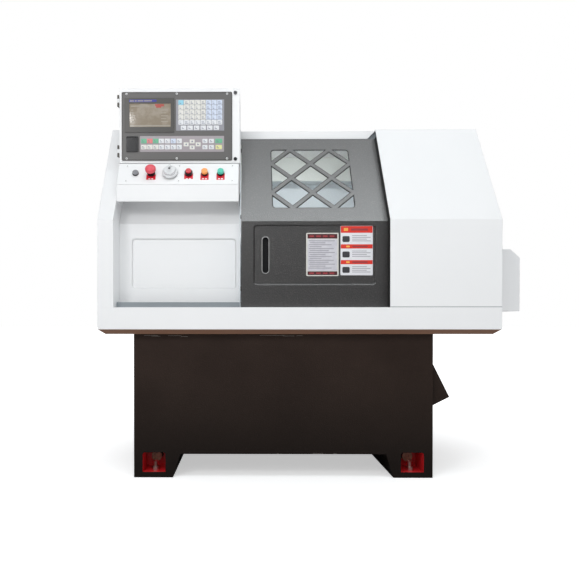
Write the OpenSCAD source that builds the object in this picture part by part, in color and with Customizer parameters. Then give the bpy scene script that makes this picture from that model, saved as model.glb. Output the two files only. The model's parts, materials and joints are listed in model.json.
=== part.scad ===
// Small flat-bed CNC turning lathe: a sheet-metal enclosure and chip tray on a welded pedestal,
// with headstock, bed, carriage and four-station tool post inside. Millimetres, +Z up.
// X runs along the spindle, Y from the operator to the back. The origin is the centre of the footprint.

/* [Base cabinet] */
// Width of the pedestal across its feet
base_w = 1116; // [1060:1:1180]
// Depth of the pedestal from front to back
base_d = 700; // [640:1:730]
// Height of the pedestal, floor to chip tray
base_h = 538; // [500:1:600]
// From the left end of the tray to the pedestal
base_x = 122; // [110:1:125]
// Set-back of the pedestal behind the front of the tray
base_y = 60; // [50:1:80]
// Thickness of the pedestal's plate
base_t = 4; // [3:0.5:5]
// Thickness of the pedestal's top plate
base_top_t = 8; // [6:1:12]
// Width of each foot at the floor
foot_w = 146; // [140:1:170]
// Height of the gap between the feet
notch_h = 88; // [70:1:110]
// How far each end of the gap leans
notch_slant = 28; // [10:1:50]
// Thickness of the plate under each foot
foot_plate_t = 10; // [8:1:12]

/* [Levelling pockets] */
// Width of a levelling pocket
pocket_w = 92; // [80:1:96]
// Height of a levelling pocket
pocket_h = 80; // [72:1:90]
// Depth of a levelling pocket
pocket_deep = 120; // [100:1:150]
// From the side of the pedestal to the pocket
pocket_side = 29; // [20:1:35]
// Height of the pocket above the floor
pocket_z = 17; // [14:1:24]
// Thickness of the pocket's sheet
pocket_t = 3; // [2:0.5:4]
// Radius of the pocket's upper corners
pocket_r = 12; // [6:1:16]
// Diameter of a levelling bolt
bolt_d = 16; // [12:1:20]
// From the pedestal's face to the bolt
bolt_setback = 45; // [35:1:55]
// Diameter of the lifting tubes through the feet
lift_tube_d = 40; // [30:1:42]
// Height of the lifting tubes above the floor
lift_tube_z = 64; // [58:1:68]
// From the pedestal's face to the end of a lifting tube
lift_tube_setback = 78; // [72:1:90]

/* [Chip tray] */
// Length of the chip tray
tray_w = 1470; // [1440:1:1520]
// Depth of the chip tray
tray_d = 860; // [850:1:900]
// Height of the tray's lip
tray_lip = 80; // [70:1:90]
// How far the tray's underside is set in
tray_chamfer_in = 24; // [15:1:30]
// Height of the tray's sloping underside
tray_chamfer_down = 18; // [10:1:24]
// Thickness of the tray's sheet
tray_t = 3; // [2:0.5:4]
// Width of the ledge along the front of the tray
ledge_w = 114; // [112:1:125]
// Width of the tray's other rims
rim_w = 18; // [14:1:24]

/* [Enclosure] */
// Thickness of the enclosure's sheet
guard_t = 2.5; // [1.5:0.5:3]
// Width of the column at the left end
column_w = 58; // [52:1:62]
// Height of the upright front above the tray
break_h = 319; // [300:1:335]
// Height of the roof above the tray
roof_rise = 724; // [710:1:750]
// How far the sloping front runs back
slope_run = 267; // [255:1:280]
// Depth of the enclosure
guard_d = 782; // [775:1:800]
// Place of the partition between headstock and work space
partition_x = 518; // [516:1:520]
// From the left end to the right-hand housing
housing_x = 1065; // [1055:1:1075]
// Set-back of the roof's front edge over the door
roof_front_y = 290; // [289:1:292]
// Height of the roof's front edge over the door
roof_edge_h = 31; // [26:1:34]
// Set-back of the sheet under the console
cover_set = 110; // [100:1:112]
// Depth of the pressed fields in the sheets
press_depth = 5; // [3:0.5:6]

/* [Sliding door] */
// Set-back of the door's face
door_set = 40; // [34:1:42]
// Left edge of the door
door_x = 523; // [522:0.5:526]
// Width of the door
door_w = 562; // [555:1:570]
// Gap under the door
door_gap = 2; // [1:0.5:3]
// Depth of the door's side flanges
door_flange = 26; // [18:1:30]
// Width of the window
window_w = 312; // [280:1:330]
// Height of the window along the slope
window_h = 317; // [290:1:330]
// From the door's bend to the window
window_up = 66; // [50:1:80]
// Left edge of the window from the door's left edge
window_in = 117; // [100:1:130]
// Width of the bars across the window
lattice_w = 15; // [10:1:20]
// Thickness of the window pane
pane_t = 4; // [3:0.5:5]
// Length of the flush pull
pull_l = 139; // [120:1:160]
// Width of the flush pull
pull_w = 29; // [26:1:34]
// Depth of the flush pull
pull_deep = 16; // [12:1:20]

/* [Console and control box] */
// Width of the console
console_w = 456; // [440:1:458]
// Set-back of the console's apron
apron_y = 56; // [52:1:60]
// Height of the apron's lower edge above the tray
apron_up = 395; // [385:1:405]
// Height of the apron
apron_h = 61; // [50:1:70]
// Height of the sloping button plate
plate_rise = 92; // [80:1:100]
// How far the button plate leans back
plate_run = 51; // [45:1:56]
// Thickness of the button plate
button_plate_t = 2; // [1.5:0.5:3]
// Width of the control box
box_w = 458; // [452:1:458]
// Height of the control box
box_h = 285; // [270:1:300]
// Depth of the control box's hinged front
box_door_t = 18; // [14:1:20]
// Back of the control box from the front of the machine
box_back_y = 300; // [290:1:330]
// Thickness of the control box's sheet
box_t = 2; // [1.5:0.5:2.5]
// Width of the controller panel
panel_w = 420; // [410:1:424]
// Height of the controller panel
panel_h = 260; // [250:1:262]
// How far the controller panel stands proud
panel_proud = 3; // [2:0.5:4]
// Diameter of the panel switches' holes
switch_d = 22; // [20:0.5:24]

/* [Spindle and chuck] */
// Distance of the spindle from the front
spindle_y = 430; // [425:1:440]
// Height of the spindle above the tray's rim
spindle_up = 314; // [305:1:320]
// Height of the spindle above the bed
centre_h = 150; // [145:1:155]
// Left face of the headstock
headstock_x = 178; // [176:1:182]
// Length of the headstock
headstock_l = 302; // [296:1:303]
// Width of the headstock
headstock_w = 220; // [200:2:230]
// Radius of the spindle at its front bearing
spindle_r = 35; // [32:0.5:38]
// Radius of the spindle at its rear bearing
spindle_rear_r = 30; // [26:0.5:31]
// Radius of the hole through the spindle
spindle_bore_r = 20; // [15:0.5:22]
// Radius of the spindle's nose
nose_r = 55; // [52:0.5:58]
// Radius of the chuck
chuck_r = 80; // [76:1:90]
// Length of the chuck's body
chuck_l = 74; // [65:1:80]
// Width of a chuck jaw
jaw_w = 20; // [16:1:24]
// Radius of the spindle pulley
spindle_pulley_r = 70; // [60:1:74]
// Radius of the motor pulley
motor_pulley_r = 45; // [40:1:50]
// Thickness of the drive belt
belt_t = 5; // [4:0.5:6]
// Width of the drive belt
belt_w = 30; // [24:1:32]

/* [Bed and carriage] */
// Left end of the bed
bed_x = 185; // [182:1:190]
// From the bed's right end to the end of the tray
bed_end_gap = 110; // [105:1:120]
// Width of the bed
bed_w = 210; // [200:2:220]
// Height of the bed's casting
bed_h = 180; // [160:1:190]
// Distance of the lengthways screw from the front
z_screw_y = 290; // [286:1:292]
// Depth of the lengthways screw below the bed's top
z_screw_down = 55; // [50:1:60]
// Radius of the lengthways screw
z_screw_r = 12.5; // [10:0.5:14]
// Place of the carriage along the bed
carriage_x = 1000; // [990:1:1005]
// Length of the saddle along the bed
saddle_l = 230; // [220:1:236]
// Thickness of the saddle
saddle_t = 40; // [38:1:44]
// Radius of the crossways screw
x_screw_r = 8; // [6:0.5:9]
// Distance of the tool post from the front
post_y = 285; // [284:1:290]
// Side of the square tool post
post_w = 150; // [140:1:152]
// Height of the tool post
post_h = 90; // [84:1:94]
// Side of a tool's square shank
tool_w = 20; // [16:1:25]
// How far each tool stands out
tool_out = 30; // [20:1:32]
// Running gap between sliding machined faces
slide_gap = 0.3; // [0.2:0.05:0.4]
// Radial running clearance of turning shafts
run_gap = 0.05; // [0.02:0.01:0.08]

/* [Drives and services] */
// Length of the cover beyond the right-hand end
motor_cover_w = 150; // [140:1:170]
// Height of the motor cover
motor_cover_h = 244; // [230:1:260]
// Front of the motor cover
motor_cover_y = 200; // [190:1:205]
// Depth of the motor cover
motor_cover_d = 200; // [190:1:220]
// Radius of the main motor
motor_r = 95; // [85:1:100]
// Height of the main motor's axis above the floor
motor_z = 220; // [210:1:240]
// Width of the rear electrical cabinet
cabinet_w = 484; // [470:1:488]
// Front of the rear electrical cabinet
cabinet_y = 600; // [590:1:640]
// Height of the coolant tank
tank_h = 168; // [140:1:200]

/* [Hidden] */
$fn = 48;

overall_w = tray_w + motor_cover_w;
bed_l = tray_w - bed_x - bed_end_gap;
tray_floor = base_h + tray_t;
tray_top = base_h + tray_chamfer_down + tray_lip;
break_z = tray_top + break_h;
roof_z = tray_top + roof_rise;
slope_k = slope_run / (roof_z - break_z);
slope_c = sqrt(1 + slope_k * slope_k);
slope_angle = atan2(1, slope_k);
partition_end = partition_x + guard_t;
hair = 0.01;

apron_z = tray_top + apron_up;
plate_z = apron_z + apron_h;
plate_top_z = plate_z + plate_rise;
plate_angle = atan2(plate_rise, plate_run);
plate_l = norm([plate_rise, plate_run]);
console_floor_z = plate_z - 8;
cover_top_y = slope_at(console_floor_z, cover_set);
console_x = column_w;
box_x = column_w + 2;
box_face_y = apron_y + plate_run;
box_front_y = box_face_y + box_door_t;
box_top_z = plate_top_z + box_h;
box_foot_y = slope_at(plate_top_z);
panel_x = box_x + 9;
panel_z = plate_top_z + 11;
panel_face_y = box_face_y - panel_proud;

pocket_places = [
    for (x = [base_x + pocket_side, base_x + base_w - pocket_side - pocket_w])
        for (back = [0, 1]) [x, back]
];
foot_hole_r = bolt_d / 2 + 1;

door_bottom = tray_top + door_gap;
door_top = roof_z - roof_edge_h - door_gap;
rail_y = door_set + 16;
rail_t = 6;
rail_h = 20;
top_rail_y = roof_front_y + 10;
top_rail_h = 47;
shoe_gap = 0.4;
field_x = door_x + 45;
field_w = window_w + 143;
field_z = tray_top + 83;
field_h = break_z - field_z - 12;
field_r = 16;
pull_x = door_x + 76;
pull_z = tray_top + 124;
pull_lip = 4;

spindle_z = tray_top + spindle_up;
bed_top = spindle_z - centre_h;
bed_bottom = bed_top - bed_h;
bed_y = spindle_y - bed_w / 2;
way_w = 34;
way_h = 12;
way_y = bed_y + 18;
headstock_end = headstock_x + headstock_l;
spindle_end = partition_x + 8;
chuck_x = spindle_end;
jaw_foot = 14;
jaw_tee = 4;
pulley_w = belt_w + 4;
pulley_x = headstock_x - 8 - pulley_w;
belt_gap = 0.3;
z_screw_z = bed_top - z_screw_down;
lug_t = 30;
left_lug_x = chuck_x + 94;
screw_end = bed_x + bed_l + 12;
bracket_l = 40;
bracket_r = 30;
coupling_r = 20;
servo_x = bed_x + bed_l + bracket_l;
saddle_y0 = z_screw_y - 32;
saddle_y1 = bed_y + bed_w + 80;
saddle_top = bed_top + saddle_t;
dovetail_h = 20;
x_screw_z = saddle_top + 8;
channel_r = 13;
slide_y0 = post_y - 110;
slide_l = 270;
slide_top = saddle_top + dovetail_h + 25;
x_servo_y = saddle_y1;
post_base_h = 10;
post_z = slide_top + post_base_h + slide_gap;
post_slot = 30;
tool_shank_z = spindle_z - tool_w;
motor_x = base_x + 53;
motor_l = 280;
motor_shaft_r = 14;
belt_slot_x = pulley_x - 5;
belt_slot_w = pulley_w + 8;
base_floor = notch_h + base_t;
tank_x = base_x + 438;
tank_l = 450;
tank_y = base_y + 90;
tank_d = 440;
tank_top = base_floor + tank_h;
drain_x = tank_x + 250;
drain_y = spindle_y - 150;
drain_r = 30;
pump_x = tank_x + 80;
pump_y = tank_y + tank_d - 70;
pump_r = 45;
pipe_r = 9;
pipe_y = pump_y + 0.687 * (guard_d - pump_y);
pipe_low = tank_top + 35;
pipe_top = spindle_z + 150;
nozzle_y = spindle_y + 50;
cabinet_x = tray_chamfer_in + 2;
cabinet_top = roof_z - 20;
cabinet_door_t = 18;
cabinet_door_z = tray_top + 9;
cabinet_hinge_x = cabinet_x - 2;
cabinet_hinge_y = guard_d + cabinet_door_t + 5;
cabinet_pin_r = 2.5;
cabinet_knuckle_r = 4.5;
cabinet_knuckle_h = 30;
cabinet_hinge_z = [cabinet_door_z + 70, cabinet_top - 120];
duct_d = 80;
duct_h = 112;

// Places of the six switches along the button plate, from the key switch to the green button
key_x = console_x + 68;
estop_x = console_x + 127;
wheel_x = console_x + 198;
red_x = console_x + 268;
orange_x = console_x + 328;
green_x = console_x + 388;
switch_up = 54;
switch_places = [key_x, estop_x, wheel_x, red_x, orange_x, green_x];
collar_r = [12, 15, 24, 15, 13.5, 13.5];
collar_h = [4, 6, 5, 9, 4, 4];
plunger_r = 6;

hinge_x = box_x - 5.5;
hinge_y = box_face_y + 5;
hinge_r = 4;
hinge_pin_r = 2;
hinge_h = 44;
hinge_low = [plate_top_z + 27, plate_top_z + 218];
lock_x = box_x + box_w - 17;
lock_z = [plate_top_z + 17, plate_top_z + box_h - 17];
lock_r = 4.5;
lock_head_r = 6.5;
usb_u = 18;
usb_v = 33;
usb_w = 45;
usb_h = 56;

spout_angle = 26.6;
spout_l = 150;
spout_thick = 85;
spout_y = base_y + 20;
spout_w = 160;
spout_t = 3;
spout_out = 68;
spout_z = 300;

bumper_z = [tray_top + 70, break_z + 20, door_top - 52];
bumper_stem_r = 4;
bumper_r = 8;

// Distance back of the sloping face at a height, for a sheet set back and in by the given amounts
function slope_at(z, back = 0, inward = 0) = back + inward * slope_c + slope_k * (z - break_z);

// The bent line of the enclosure's front, from z0 up to z1
function front_line(z0, z1, back = 0, inward = 0) = [
    [back + inward, z0],
    [back + inward, break_z - inward * (slope_c - 1) / slope_k],
    [slope_at(z1, back, inward), z1]
];

// Depth of the bumpers' axis at a height, behind the door's face
function bumper_y(z) = (z > break_z ? slope_at(z, door_set) : door_set) + 14;

function reversed(list) = [for (i = [len(list) - 1:-1:0]) list[i]];

// Shapes shared by the pieces
module place() translate([-overall_w / 2, -tray_d / 2, 0]) children();

module along_x(x, l) translate([x, 0, 0]) rotate([90, 0, 90]) linear_extrude(l) children();

module along_y(y, l) translate([0, y + l, 0]) rotate([90, 0, 0]) linear_extrude(l) children();

module turned_x(x, y, z) translate([x, y, z]) rotate([0, 90, 0]) rotate_extrude() children();

module rod_x(x, y, z, r, l) translate([x, y, z]) rotate([0, 90, 0]) cylinder(r = r, h = l);

module rod_y(x, y, z, r, l) translate([x, y, z]) rotate([-90, 0, 0]) cylinder(r = r, h = l);

module block(x, y, z, size) translate([x, y, z]) cube(size);

module rounded(w, h, r) {
    translate([r, 0]) square([w - 2 * r, h]);
    translate([0, r]) square([w, h - 2 * r]);
    for (x = [r, w - r], y = [r, h - r]) translate([x, y]) circle(r);
}

// A bent sheet that follows the enclosure's front
module front_sheet(x, l, z0, z1, back, t) {
    along_x(x, l) polygon(concat(
        front_line(z0, z1, back, 0), reversed(front_line(z0, z1, back, t))));
}

// Puts a drawing on the sloping face, with its own Y up the slope and Z outwards
module on_slope(back = 0) translate([0, back, break_z]) rotate([slope_angle, 0, 0]) children();

// Puts a drawing on the sloping button plate
module on_plate() translate([0, apron_y, plate_z]) rotate([plate_angle, 0, 0]) children();

// A pressed field in an upright sheet: what is cut away, and the sunk floor with its wall
module pressed_cut(x, y, z, w, h, t) {
    along_y(y - 1, t + 2) translate([x, z]) rounded(w, h, field_r);
}

module pressed_field(x, y, z, w, h, t) {
    along_y(y + press_depth, t) translate([x - t, z - t]) rounded(w + 2 * t, h + 2 * t, field_r + t);
    along_y(y + hair, press_depth + t - hair) difference() {
        translate([x - t, z - t]) rounded(w + 2 * t, h + 2 * t, field_r + t);
        translate([x, z]) rounded(w, h, field_r);
    }
}

module base_outline() {
    polygon([
        [0, 0], [foot_w, 0], [foot_w + notch_slant, notch_h],
        [base_w - foot_w - notch_slant, notch_h], [base_w - foot_w, 0], [base_w, 0],
        [base_w, base_h], [0, base_h]
    ]);
}

module base_hollow() {
    t = base_t;
    polygon([
        [t, foot_plate_t], [foot_w - t, foot_plate_t], [foot_w + notch_slant - t, base_floor],
        [base_w - foot_w - notch_slant + t, base_floor], [base_w - foot_w + t, foot_plate_t],
        [base_w - t, foot_plate_t], [base_w - t, base_h - base_top_t], [t, base_h - base_top_t]
    ]);
}

module pocket_outline(w, h, r) {
    square([w, h - r]);
    translate([r, 0]) square([w - 2 * r, h]);
    for (x = [r, w - r]) translate([x, h - r]) circle(r);
}

// The belt passes through this slot, and chips and coolant drain through the round hole
module tray_passages(z, t) {
    reach = spindle_pulley_r + 18;
    block(belt_slot_x, spindle_y - reach, z - 1, [belt_slot_w, 2 * reach, t + 2]);
    translate([drain_x, drain_y, z - 1]) cylinder(r = drain_r, h = t + 2);
    translate([pump_x, pipe_y, z - 1]) cylinder(r = pipe_r + 4, h = t + 2);
}

module base_cabinet() {
    stiffener_t = 6;
    color([0.17, 0.14, 0.13]) place() {
        difference() {
            along_y(base_y, base_d) translate([base_x, 0]) base_outline();
            along_y(base_y + base_t, base_d - 2 * base_t) translate([base_x, 0]) base_hollow();
            tray_passages(base_h - base_top_t, base_top_t);
            for (p = pocket_places) {
                along_y(base_y + p[1] * (base_d - 2 * base_t) - 1, 2 * base_t + 2) pocket_mouth(p[0]);
                translate([p[0] + pocket_w / 2, pocket_bolt_y(p[1]), -1])
                    cylinder(r = foot_hole_r, h = foot_plate_t + 2);
            }
            spout_hollow(base_t + 20);
        }
        // Each foot has two welded plates that carry the lifting tube
        for (x = [base_x + base_t, base_x + base_w - foot_w])
            for (y = [pocket_deep + 14, base_d - pocket_deep - 20])
                block(x, base_y + y, foot_plate_t, [foot_w - base_t, stiffener_t, notch_h - foot_plate_t]);
        for (x = [pocket_places[0][0], pocket_places[2][0]])
            rod_y(x + pocket_w / 2, base_y + lift_tube_setback, lift_tube_z,
                lift_tube_d / 2, base_d - 2 * lift_tube_setback);
    }
}

module pocket_mouth(x) {
    translate([x + pocket_t, pocket_z + pocket_t])
        pocket_outline(pocket_w - 2 * pocket_t, pocket_h - 2 * pocket_t, pocket_r - pocket_t);
}

function pocket_bolt_y(back) = back == 0 ? base_y + bolt_setback : base_y + base_d - bolt_setback;

// Each pocket is welded behind the plate, and its mouth is as wide as the plate's hole
module levelling_pockets() {
    l = pocket_deep - base_t;
    color([0.75, 0.08, 0.07]) place()
        for (p = pocket_places) difference() {
            along_y(p[1] == 0 ? base_y + base_t : base_y + base_d - pocket_deep, l)
                translate([p[0], pocket_z]) pocket_outline(pocket_w, pocket_h, pocket_r);
            along_y(p[1] == 0 ? base_y + base_t - pocket_t : base_y + base_d - pocket_deep + pocket_t, l)
                pocket_mouth(p[0]);
            translate([p[0] + pocket_w / 2, pocket_bolt_y(p[1]), 0])
                cylinder(r = foot_hole_r, h = 2 * pocket_z);
            rod_y(p[0] + pocket_w / 2, base_y, lift_tube_z, lift_tube_d / 2 + slide_gap, base_d);
        }
}

module levelling_bolts() {
    nut_h = 0.8 * bolt_d;
    tip_z = 1;
    bolt_l = pocket_z + pocket_t + 2.3 * bolt_d;
    color([0.7, 0.7, 0.72]) place()
        for (p = pocket_places) translate([p[0] + pocket_w / 2, pocket_bolt_y(p[1]), 0]) {
            translate([0, 0, tip_z]) cylinder(d = bolt_d, h = bolt_l - tip_z);
            translate([0, 0, pocket_z + pocket_t]) cylinder(d = 1.75 * bolt_d, h = nut_h, $fn = 6);
            translate([0, 0, bolt_l - nut_h / 2]) cylinder(d = 1.3 * bolt_d, h = nut_h / 2, $fn = 4);
        }
}

function tray_section(w) = [
    [tray_chamfer_in, base_h], [w - tray_chamfer_in, base_h], [w, base_h + tray_chamfer_down],
    [w, tray_top], [0, tray_top], [0, base_h + tray_chamfer_down]
];

function tray_hollow(w) = [
    [tray_chamfer_in, tray_floor], [w - tray_chamfer_in, tray_floor],
    [w - tray_t, base_h + tray_chamfer_down], [w - tray_t, tray_top - tray_t],
    [tray_t, tray_top - tray_t], [tray_t, base_h + tray_chamfer_down]
];

module chip_tray() {
    color([0.9, 0.9, 0.91]) place() difference() {
        intersection() {
            along_x(0, tray_w) polygon(tray_section(tray_d));
            along_y(0, tray_d) polygon(tray_section(tray_w));
        }
        intersection() {
            along_x(0, tray_w) polygon(tray_hollow(tray_d));
            along_y(0, tray_d) polygon(tray_hollow(tray_w));
        }
        block(rim_w, ledge_w, tray_top - 2 * tray_t,
            [tray_w - 2 * rim_w, tray_d - ledge_w - rim_w, 3 * tray_t]);
        tray_passages(base_h, tray_t);
    }
}

module upper_guard() {
    roof_under = roof_z - guard_t;
    mitre = roof_edge_h - 3;
    edge_x = housing_x - hair;
    color([0.91, 0.91, 0.92]) place() {
        // Left side
        along_x(0, guard_t) polygon([
            [0, tray_top], [0, break_z], [slope_run, roof_z], [guard_d, roof_z], [guard_d, tray_top]
        ]);
        // Column with its return, which is the left wall of the recess
        front_sheet(0, column_w, tray_top, plate_top_z, 0, guard_t);
        along_x(column_w - guard_t, guard_t) polygon(concat(
            front_line(tray_top, apron_z), reversed(front_line(tray_top, apron_z, cover_set))));
        // Slope behind the control box, open for its cables
        difference() {
            along_x(0, partition_end) polygon([
                [slope_at(plate_top_z), plate_top_z], [slope_at(roof_z), roof_z],
                [slope_at(roof_z, 0, guard_t), roof_z], [slope_at(plate_top_z, 0, guard_t), plate_top_z]
            ]);
            block(box_x + 90, box_foot_y + 20, plate_top_z + 20, [280, 70, 90]);
        }
        // Roof, stepped back over the door
        block(0, slope_run, roof_under, [partition_end, guard_d - slope_run, guard_t]);
        block(0, roof_front_y, roof_under, [edge_x, guard_d - roof_front_y, guard_t]);
        // Front edge over the door, with a mitred end
        along_y(roof_front_y, guard_t) polygon([
            [partition_x, roof_z - roof_edge_h], [edge_x - mitre, roof_z - roof_edge_h],
            [edge_x, roof_z - 3], [edge_x, roof_z], [partition_x, roof_z]
        ]);
    }
}

module headstock_cover() {
    x = column_w;
    w = partition_x - column_w;
    top = console_floor_z;
    flange = 20;
    field = [x + 46, tray_top + 70];
    field_size = [w - 58, 196];
    color([0.86, 0.86, 0.88]) place() {
        difference() {
            front_sheet(x, w, tray_top, top, cover_set, guard_t);
            pressed_cut(field[0], cover_set, field[1], field_size[0], field_size[1], guard_t);
        }
        pressed_field(field[0], cover_set, field[1], field_size[0], field_size[1], guard_t);
        // Flanges at both ends
        for (end_x = [x, x + w - guard_t]) along_x(end_x, guard_t) polygon(concat(
            front_line(tray_top, top, cover_set), reversed(front_line(tray_top, top, cover_set + flange))));
    }
}

module splash_guard() {
    back_y = guard_d - guard_t;
    edge_set = door_set + 6;
    top = roof_z - guard_t;
    front_top = roof_z - roof_edge_h;
    sheet_end = tray_w - tray_chamfer_in - 1;
    duct_y = back_y - duct_d;
    duct_z = top - duct_h;
    spindle_gap = 7;
    bed_gap = [10, 3];
    slot_y = z_screw_y - 20;
    color([0.85, 0.85, 0.87]) place() {
        difference() {
            along_x(partition_x, guard_t) polygon(concat(
                front_line(tray_top, front_top, edge_set),
                [[roof_front_y + guard_t, front_top], [roof_front_y + guard_t, top], [guard_d, top],
                 [guard_d, tray_floor], [ledge_w, tray_floor], [ledge_w, tray_top]]));
            rod_x(partition_x - 1, spindle_y, spindle_z, nose_r + spindle_gap, guard_t + 2);
            block(partition_x - 1, slot_y, tray_floor - 1,
                [guard_t + 2, bed_y + bed_w + bed_gap[0] - slot_y, bed_top + way_h + bed_gap[1] - tray_floor]);
            block(partition_x - 1, rail_y, tray_top - 1, [guard_t + 2, rail_t, rail_h + 1]);
        }
        // Folded cable duct along the back, under the roof
        along_x(partition_x, tray_w - guard_t - partition_x) polygon([
            [back_y + hair, duct_z], [duct_y, duct_z], [duct_y, top],
            [duct_y + guard_t, top], [duct_y + guard_t, duct_z + guard_t], [back_y + hair, duct_z + guard_t]
        ]);
        along_y(back_y, guard_t) polygon([
            [partition_x, tray_floor], [sheet_end, tray_floor], [sheet_end, tray_top],
            [tray_w - guard_t, tray_top], [tray_w - guard_t, top], [partition_x, top]
        ]);
    }
}

// The apron and both ends hang below the console's floor, and the sheet behind runs up to that floor
module console_housing() {
    t = guard_t;
    back_low = slope_at(apron_z, cover_set);
    open_back = 20;
    plate_rim = [12, 10];
    color([0.88, 0.88, 0.9]) place() difference() {
        along_x(console_x, console_w) polygon([
            [apron_y, apron_z], [apron_y, plate_z], [box_face_y, plate_top_z],
            [box_foot_y - hair, plate_top_z], [cover_top_y, console_floor_z], [back_low, apron_z]
        ]);
        along_x(console_x + t, console_w - 2 * t) polygon([
            [apron_y + t, console_floor_z + t], [apron_y + t, plate_z], [box_face_y + t, plate_top_z - t],
            [box_foot_y + open_back, plate_top_z - t], [cover_top_y + open_back, console_floor_z + t]
        ]);
        along_x(console_x + t, console_w - 2 * t) polygon([
            [apron_y + t, apron_z - 1], [apron_y + t, console_floor_z],
            [cover_top_y + open_back, console_floor_z], [back_low + open_back, apron_z - 1]
        ]);
        on_plate() translate([console_x + plate_rim[0], plate_rim[1], -3 * t])
            cube([console_w - 2 * plate_rim[0], plate_l - 2 * plate_rim[1], 6 * t]);
    }
}

module button_plate() {
    color([0.95, 0.95, 0.96]) place() on_plate() difference() {
        translate([console_x + 2, 2, 0]) linear_extrude(button_plate_t)
            rounded(console_w - 4, plate_l - 4, 4);
        for (x = switch_places) translate([x, switch_up, -1])
            cylinder(d = switch_d + 2 * slide_gap, h = button_plate_t + 2);
    }
}

module switch_barrels() {
    block_h = 30;
    color([0.12, 0.12, 0.13]) place() on_plate()
        for (i = [0:5]) translate([switch_places[i], switch_up, 0]) difference() {
            union() {
                translate([0, 0, button_plate_t]) cylinder(r = collar_r[i], h = collar_h[i]);
                translate([0, 0, -20]) cylinder(d = switch_d, h = 21 + button_plate_t);
                translate([-14, -20, -20 - block_h]) cube([28, 40, block_h]);
            }
            translate([0, 0, -28]) cylinder(r = plunger_r + run_gap, h = 60);
        }
}

// A pressed or turned head with its plunger, drawn at a switch's place
module plunger(x, l) on_plate() translate([x, switch_up, -18]) cylinder(r = plunger_r, h = l);

module estop_head() {
    head_z = button_plate_t + collar_h[1] + 9;
    color([0.85, 0.2, 0.22]) place() {
        plunger(estop_x, head_z + 19);
        on_plate() translate([estop_x, switch_up, head_z]) rotate_extrude() polygon([
            [0, 0], [14, 0], [20, 6], [20, 13], [17, 17], [10, 20], [0, 20]
        ]);
    }
}

module key_plug() {
    face = button_plate_t + collar_h[0];
    color([0.6, 0.6, 0.62]) place() {
        plunger(key_x, face + 20);
        on_plate() difference() {
            translate([key_x, switch_up, face + slide_gap]) cylinder(r = 11, h = 5);
            translate([key_x - 1, switch_up - 5, face + 3]) cube([2, 10, 5]);
        }
    }
}

module feed_handwheel() {
    rim_z = button_plate_t + collar_h[2] + slide_gap;
    color([0.93, 0.93, 0.93]) place() {
        plunger(wheel_x, rim_z + 19);
        on_plate() translate([wheel_x, switch_up, rim_z]) {
            rotate_extrude() polygon([[0, 0], [28.5, 0], [28.5, 7], [25, 9], [22, 9], [20, 16], [0, 16]]);
            translate([0, 13, 15]) cylinder(r = 5, h = 11);
        }
    }
}

module push_cap(x, i, r, h) {
    color_z = button_plate_t + collar_h[i];
    plunger(x, color_z + 18 + 5);
    on_plate() translate([x, switch_up, color_z + 4.3]) cylinder(r1 = r, r2 = r - 1, h = h);
}

module red_button() color([0.8, 0.1, 0.1]) place() push_cap(red_x, 3, 11, 5);

module orange_button() color([0.95, 0.45, 0.15]) place() push_cap(orange_x, 4, 12.5, 9);

module green_button() color([0.1, 0.55, 0.42]) place() push_cap(green_x, 5, 12.5, 9);

module control_box() {
    t = box_t;
    inner_x = box_x + t;
    color([0.93, 0.93, 0.94]) place() difference() {
        along_x(box_x, box_w) polygon([
            [box_front_y, plate_top_z], [box_front_y, box_top_z], [box_back_y, box_top_z],
            [box_back_y, roof_z + hair], [slope_run, roof_z + hair], [box_foot_y, plate_top_z + hair]
        ]);
        along_x(inner_x, box_w - 2 * t) polygon([
            [box_front_y - 1, plate_top_z + t], [box_front_y - 1, box_top_z - t],
            [box_back_y - t, box_top_z - t], [box_back_y - t, roof_z + t],
            [slope_run - 1, roof_z + t], [box_foot_y - 1, plate_top_z + t]
        ]);
        block(box_x + 90, box_foot_y + 10, plate_top_z + 20, [280, 90, 90]);
    }
}

// The control box's front turns on two barrel hinges at its left edge
module hinge_knuckle(z, h, pin_gap) {
    difference() {
        translate([hinge_x, hinge_y, z]) cylinder(r = hinge_r, h = h);
        translate([hinge_x, hinge_y, z - 1]) cylinder(r = hinge_pin_r + pin_gap, h = h + 2);
    }
}

module panel_hinges() {
    third = hinge_h / 3;
    color([0.15, 0.15, 0.16]) place()
        for (z = hinge_low) {
            translate([hinge_x, hinge_y, z]) cylinder(r = hinge_pin_r, h = hinge_h);
            for (k = [z, z + 2 * third]) {
                hinge_knuckle(k, third - slide_gap, 0);
                block(hinge_x - 1, hinge_y + hinge_pin_r, k, [2, 12, third - slide_gap]);
                block(hinge_x - 1, box_front_y, k, [box_x - hinge_x + 1, 2, third - slide_gap]);
            }
            block(box_x - 2, box_front_y, z, [2, 22, hinge_h]);
        }
}

module panel_door() {
    t = 2;
    z0 = plate_top_z + 2;
    h = box_h - 2;
    third = hinge_h / 3;
    leaf_x = hinge_x + hinge_pin_r + 0.5;
    color([0.95, 0.95, 0.96]) place() {
        difference() {
            block(box_x, box_face_y, z0, [box_w, box_door_t - slide_gap, h]);
            block(box_x + t, box_face_y + t, z0 + t, [box_w - 2 * t, box_door_t, h - 2 * t]);
            block(panel_x + 5, box_face_y - 1, panel_z + 5, [panel_w - 10, box_door_t, panel_h - 10]);
            for (z = lock_z) rod_y(lock_x, box_face_y - 1, z, lock_r + run_gap, box_door_t);
        }
        for (z = hinge_low) {
            hinge_knuckle(z + third, third - slide_gap, run_gap);
            block(leaf_x, hinge_y - 1, z + third, [box_x + 0.5 - leaf_x, 2, third - slide_gap]);
        }
    }
}

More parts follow.
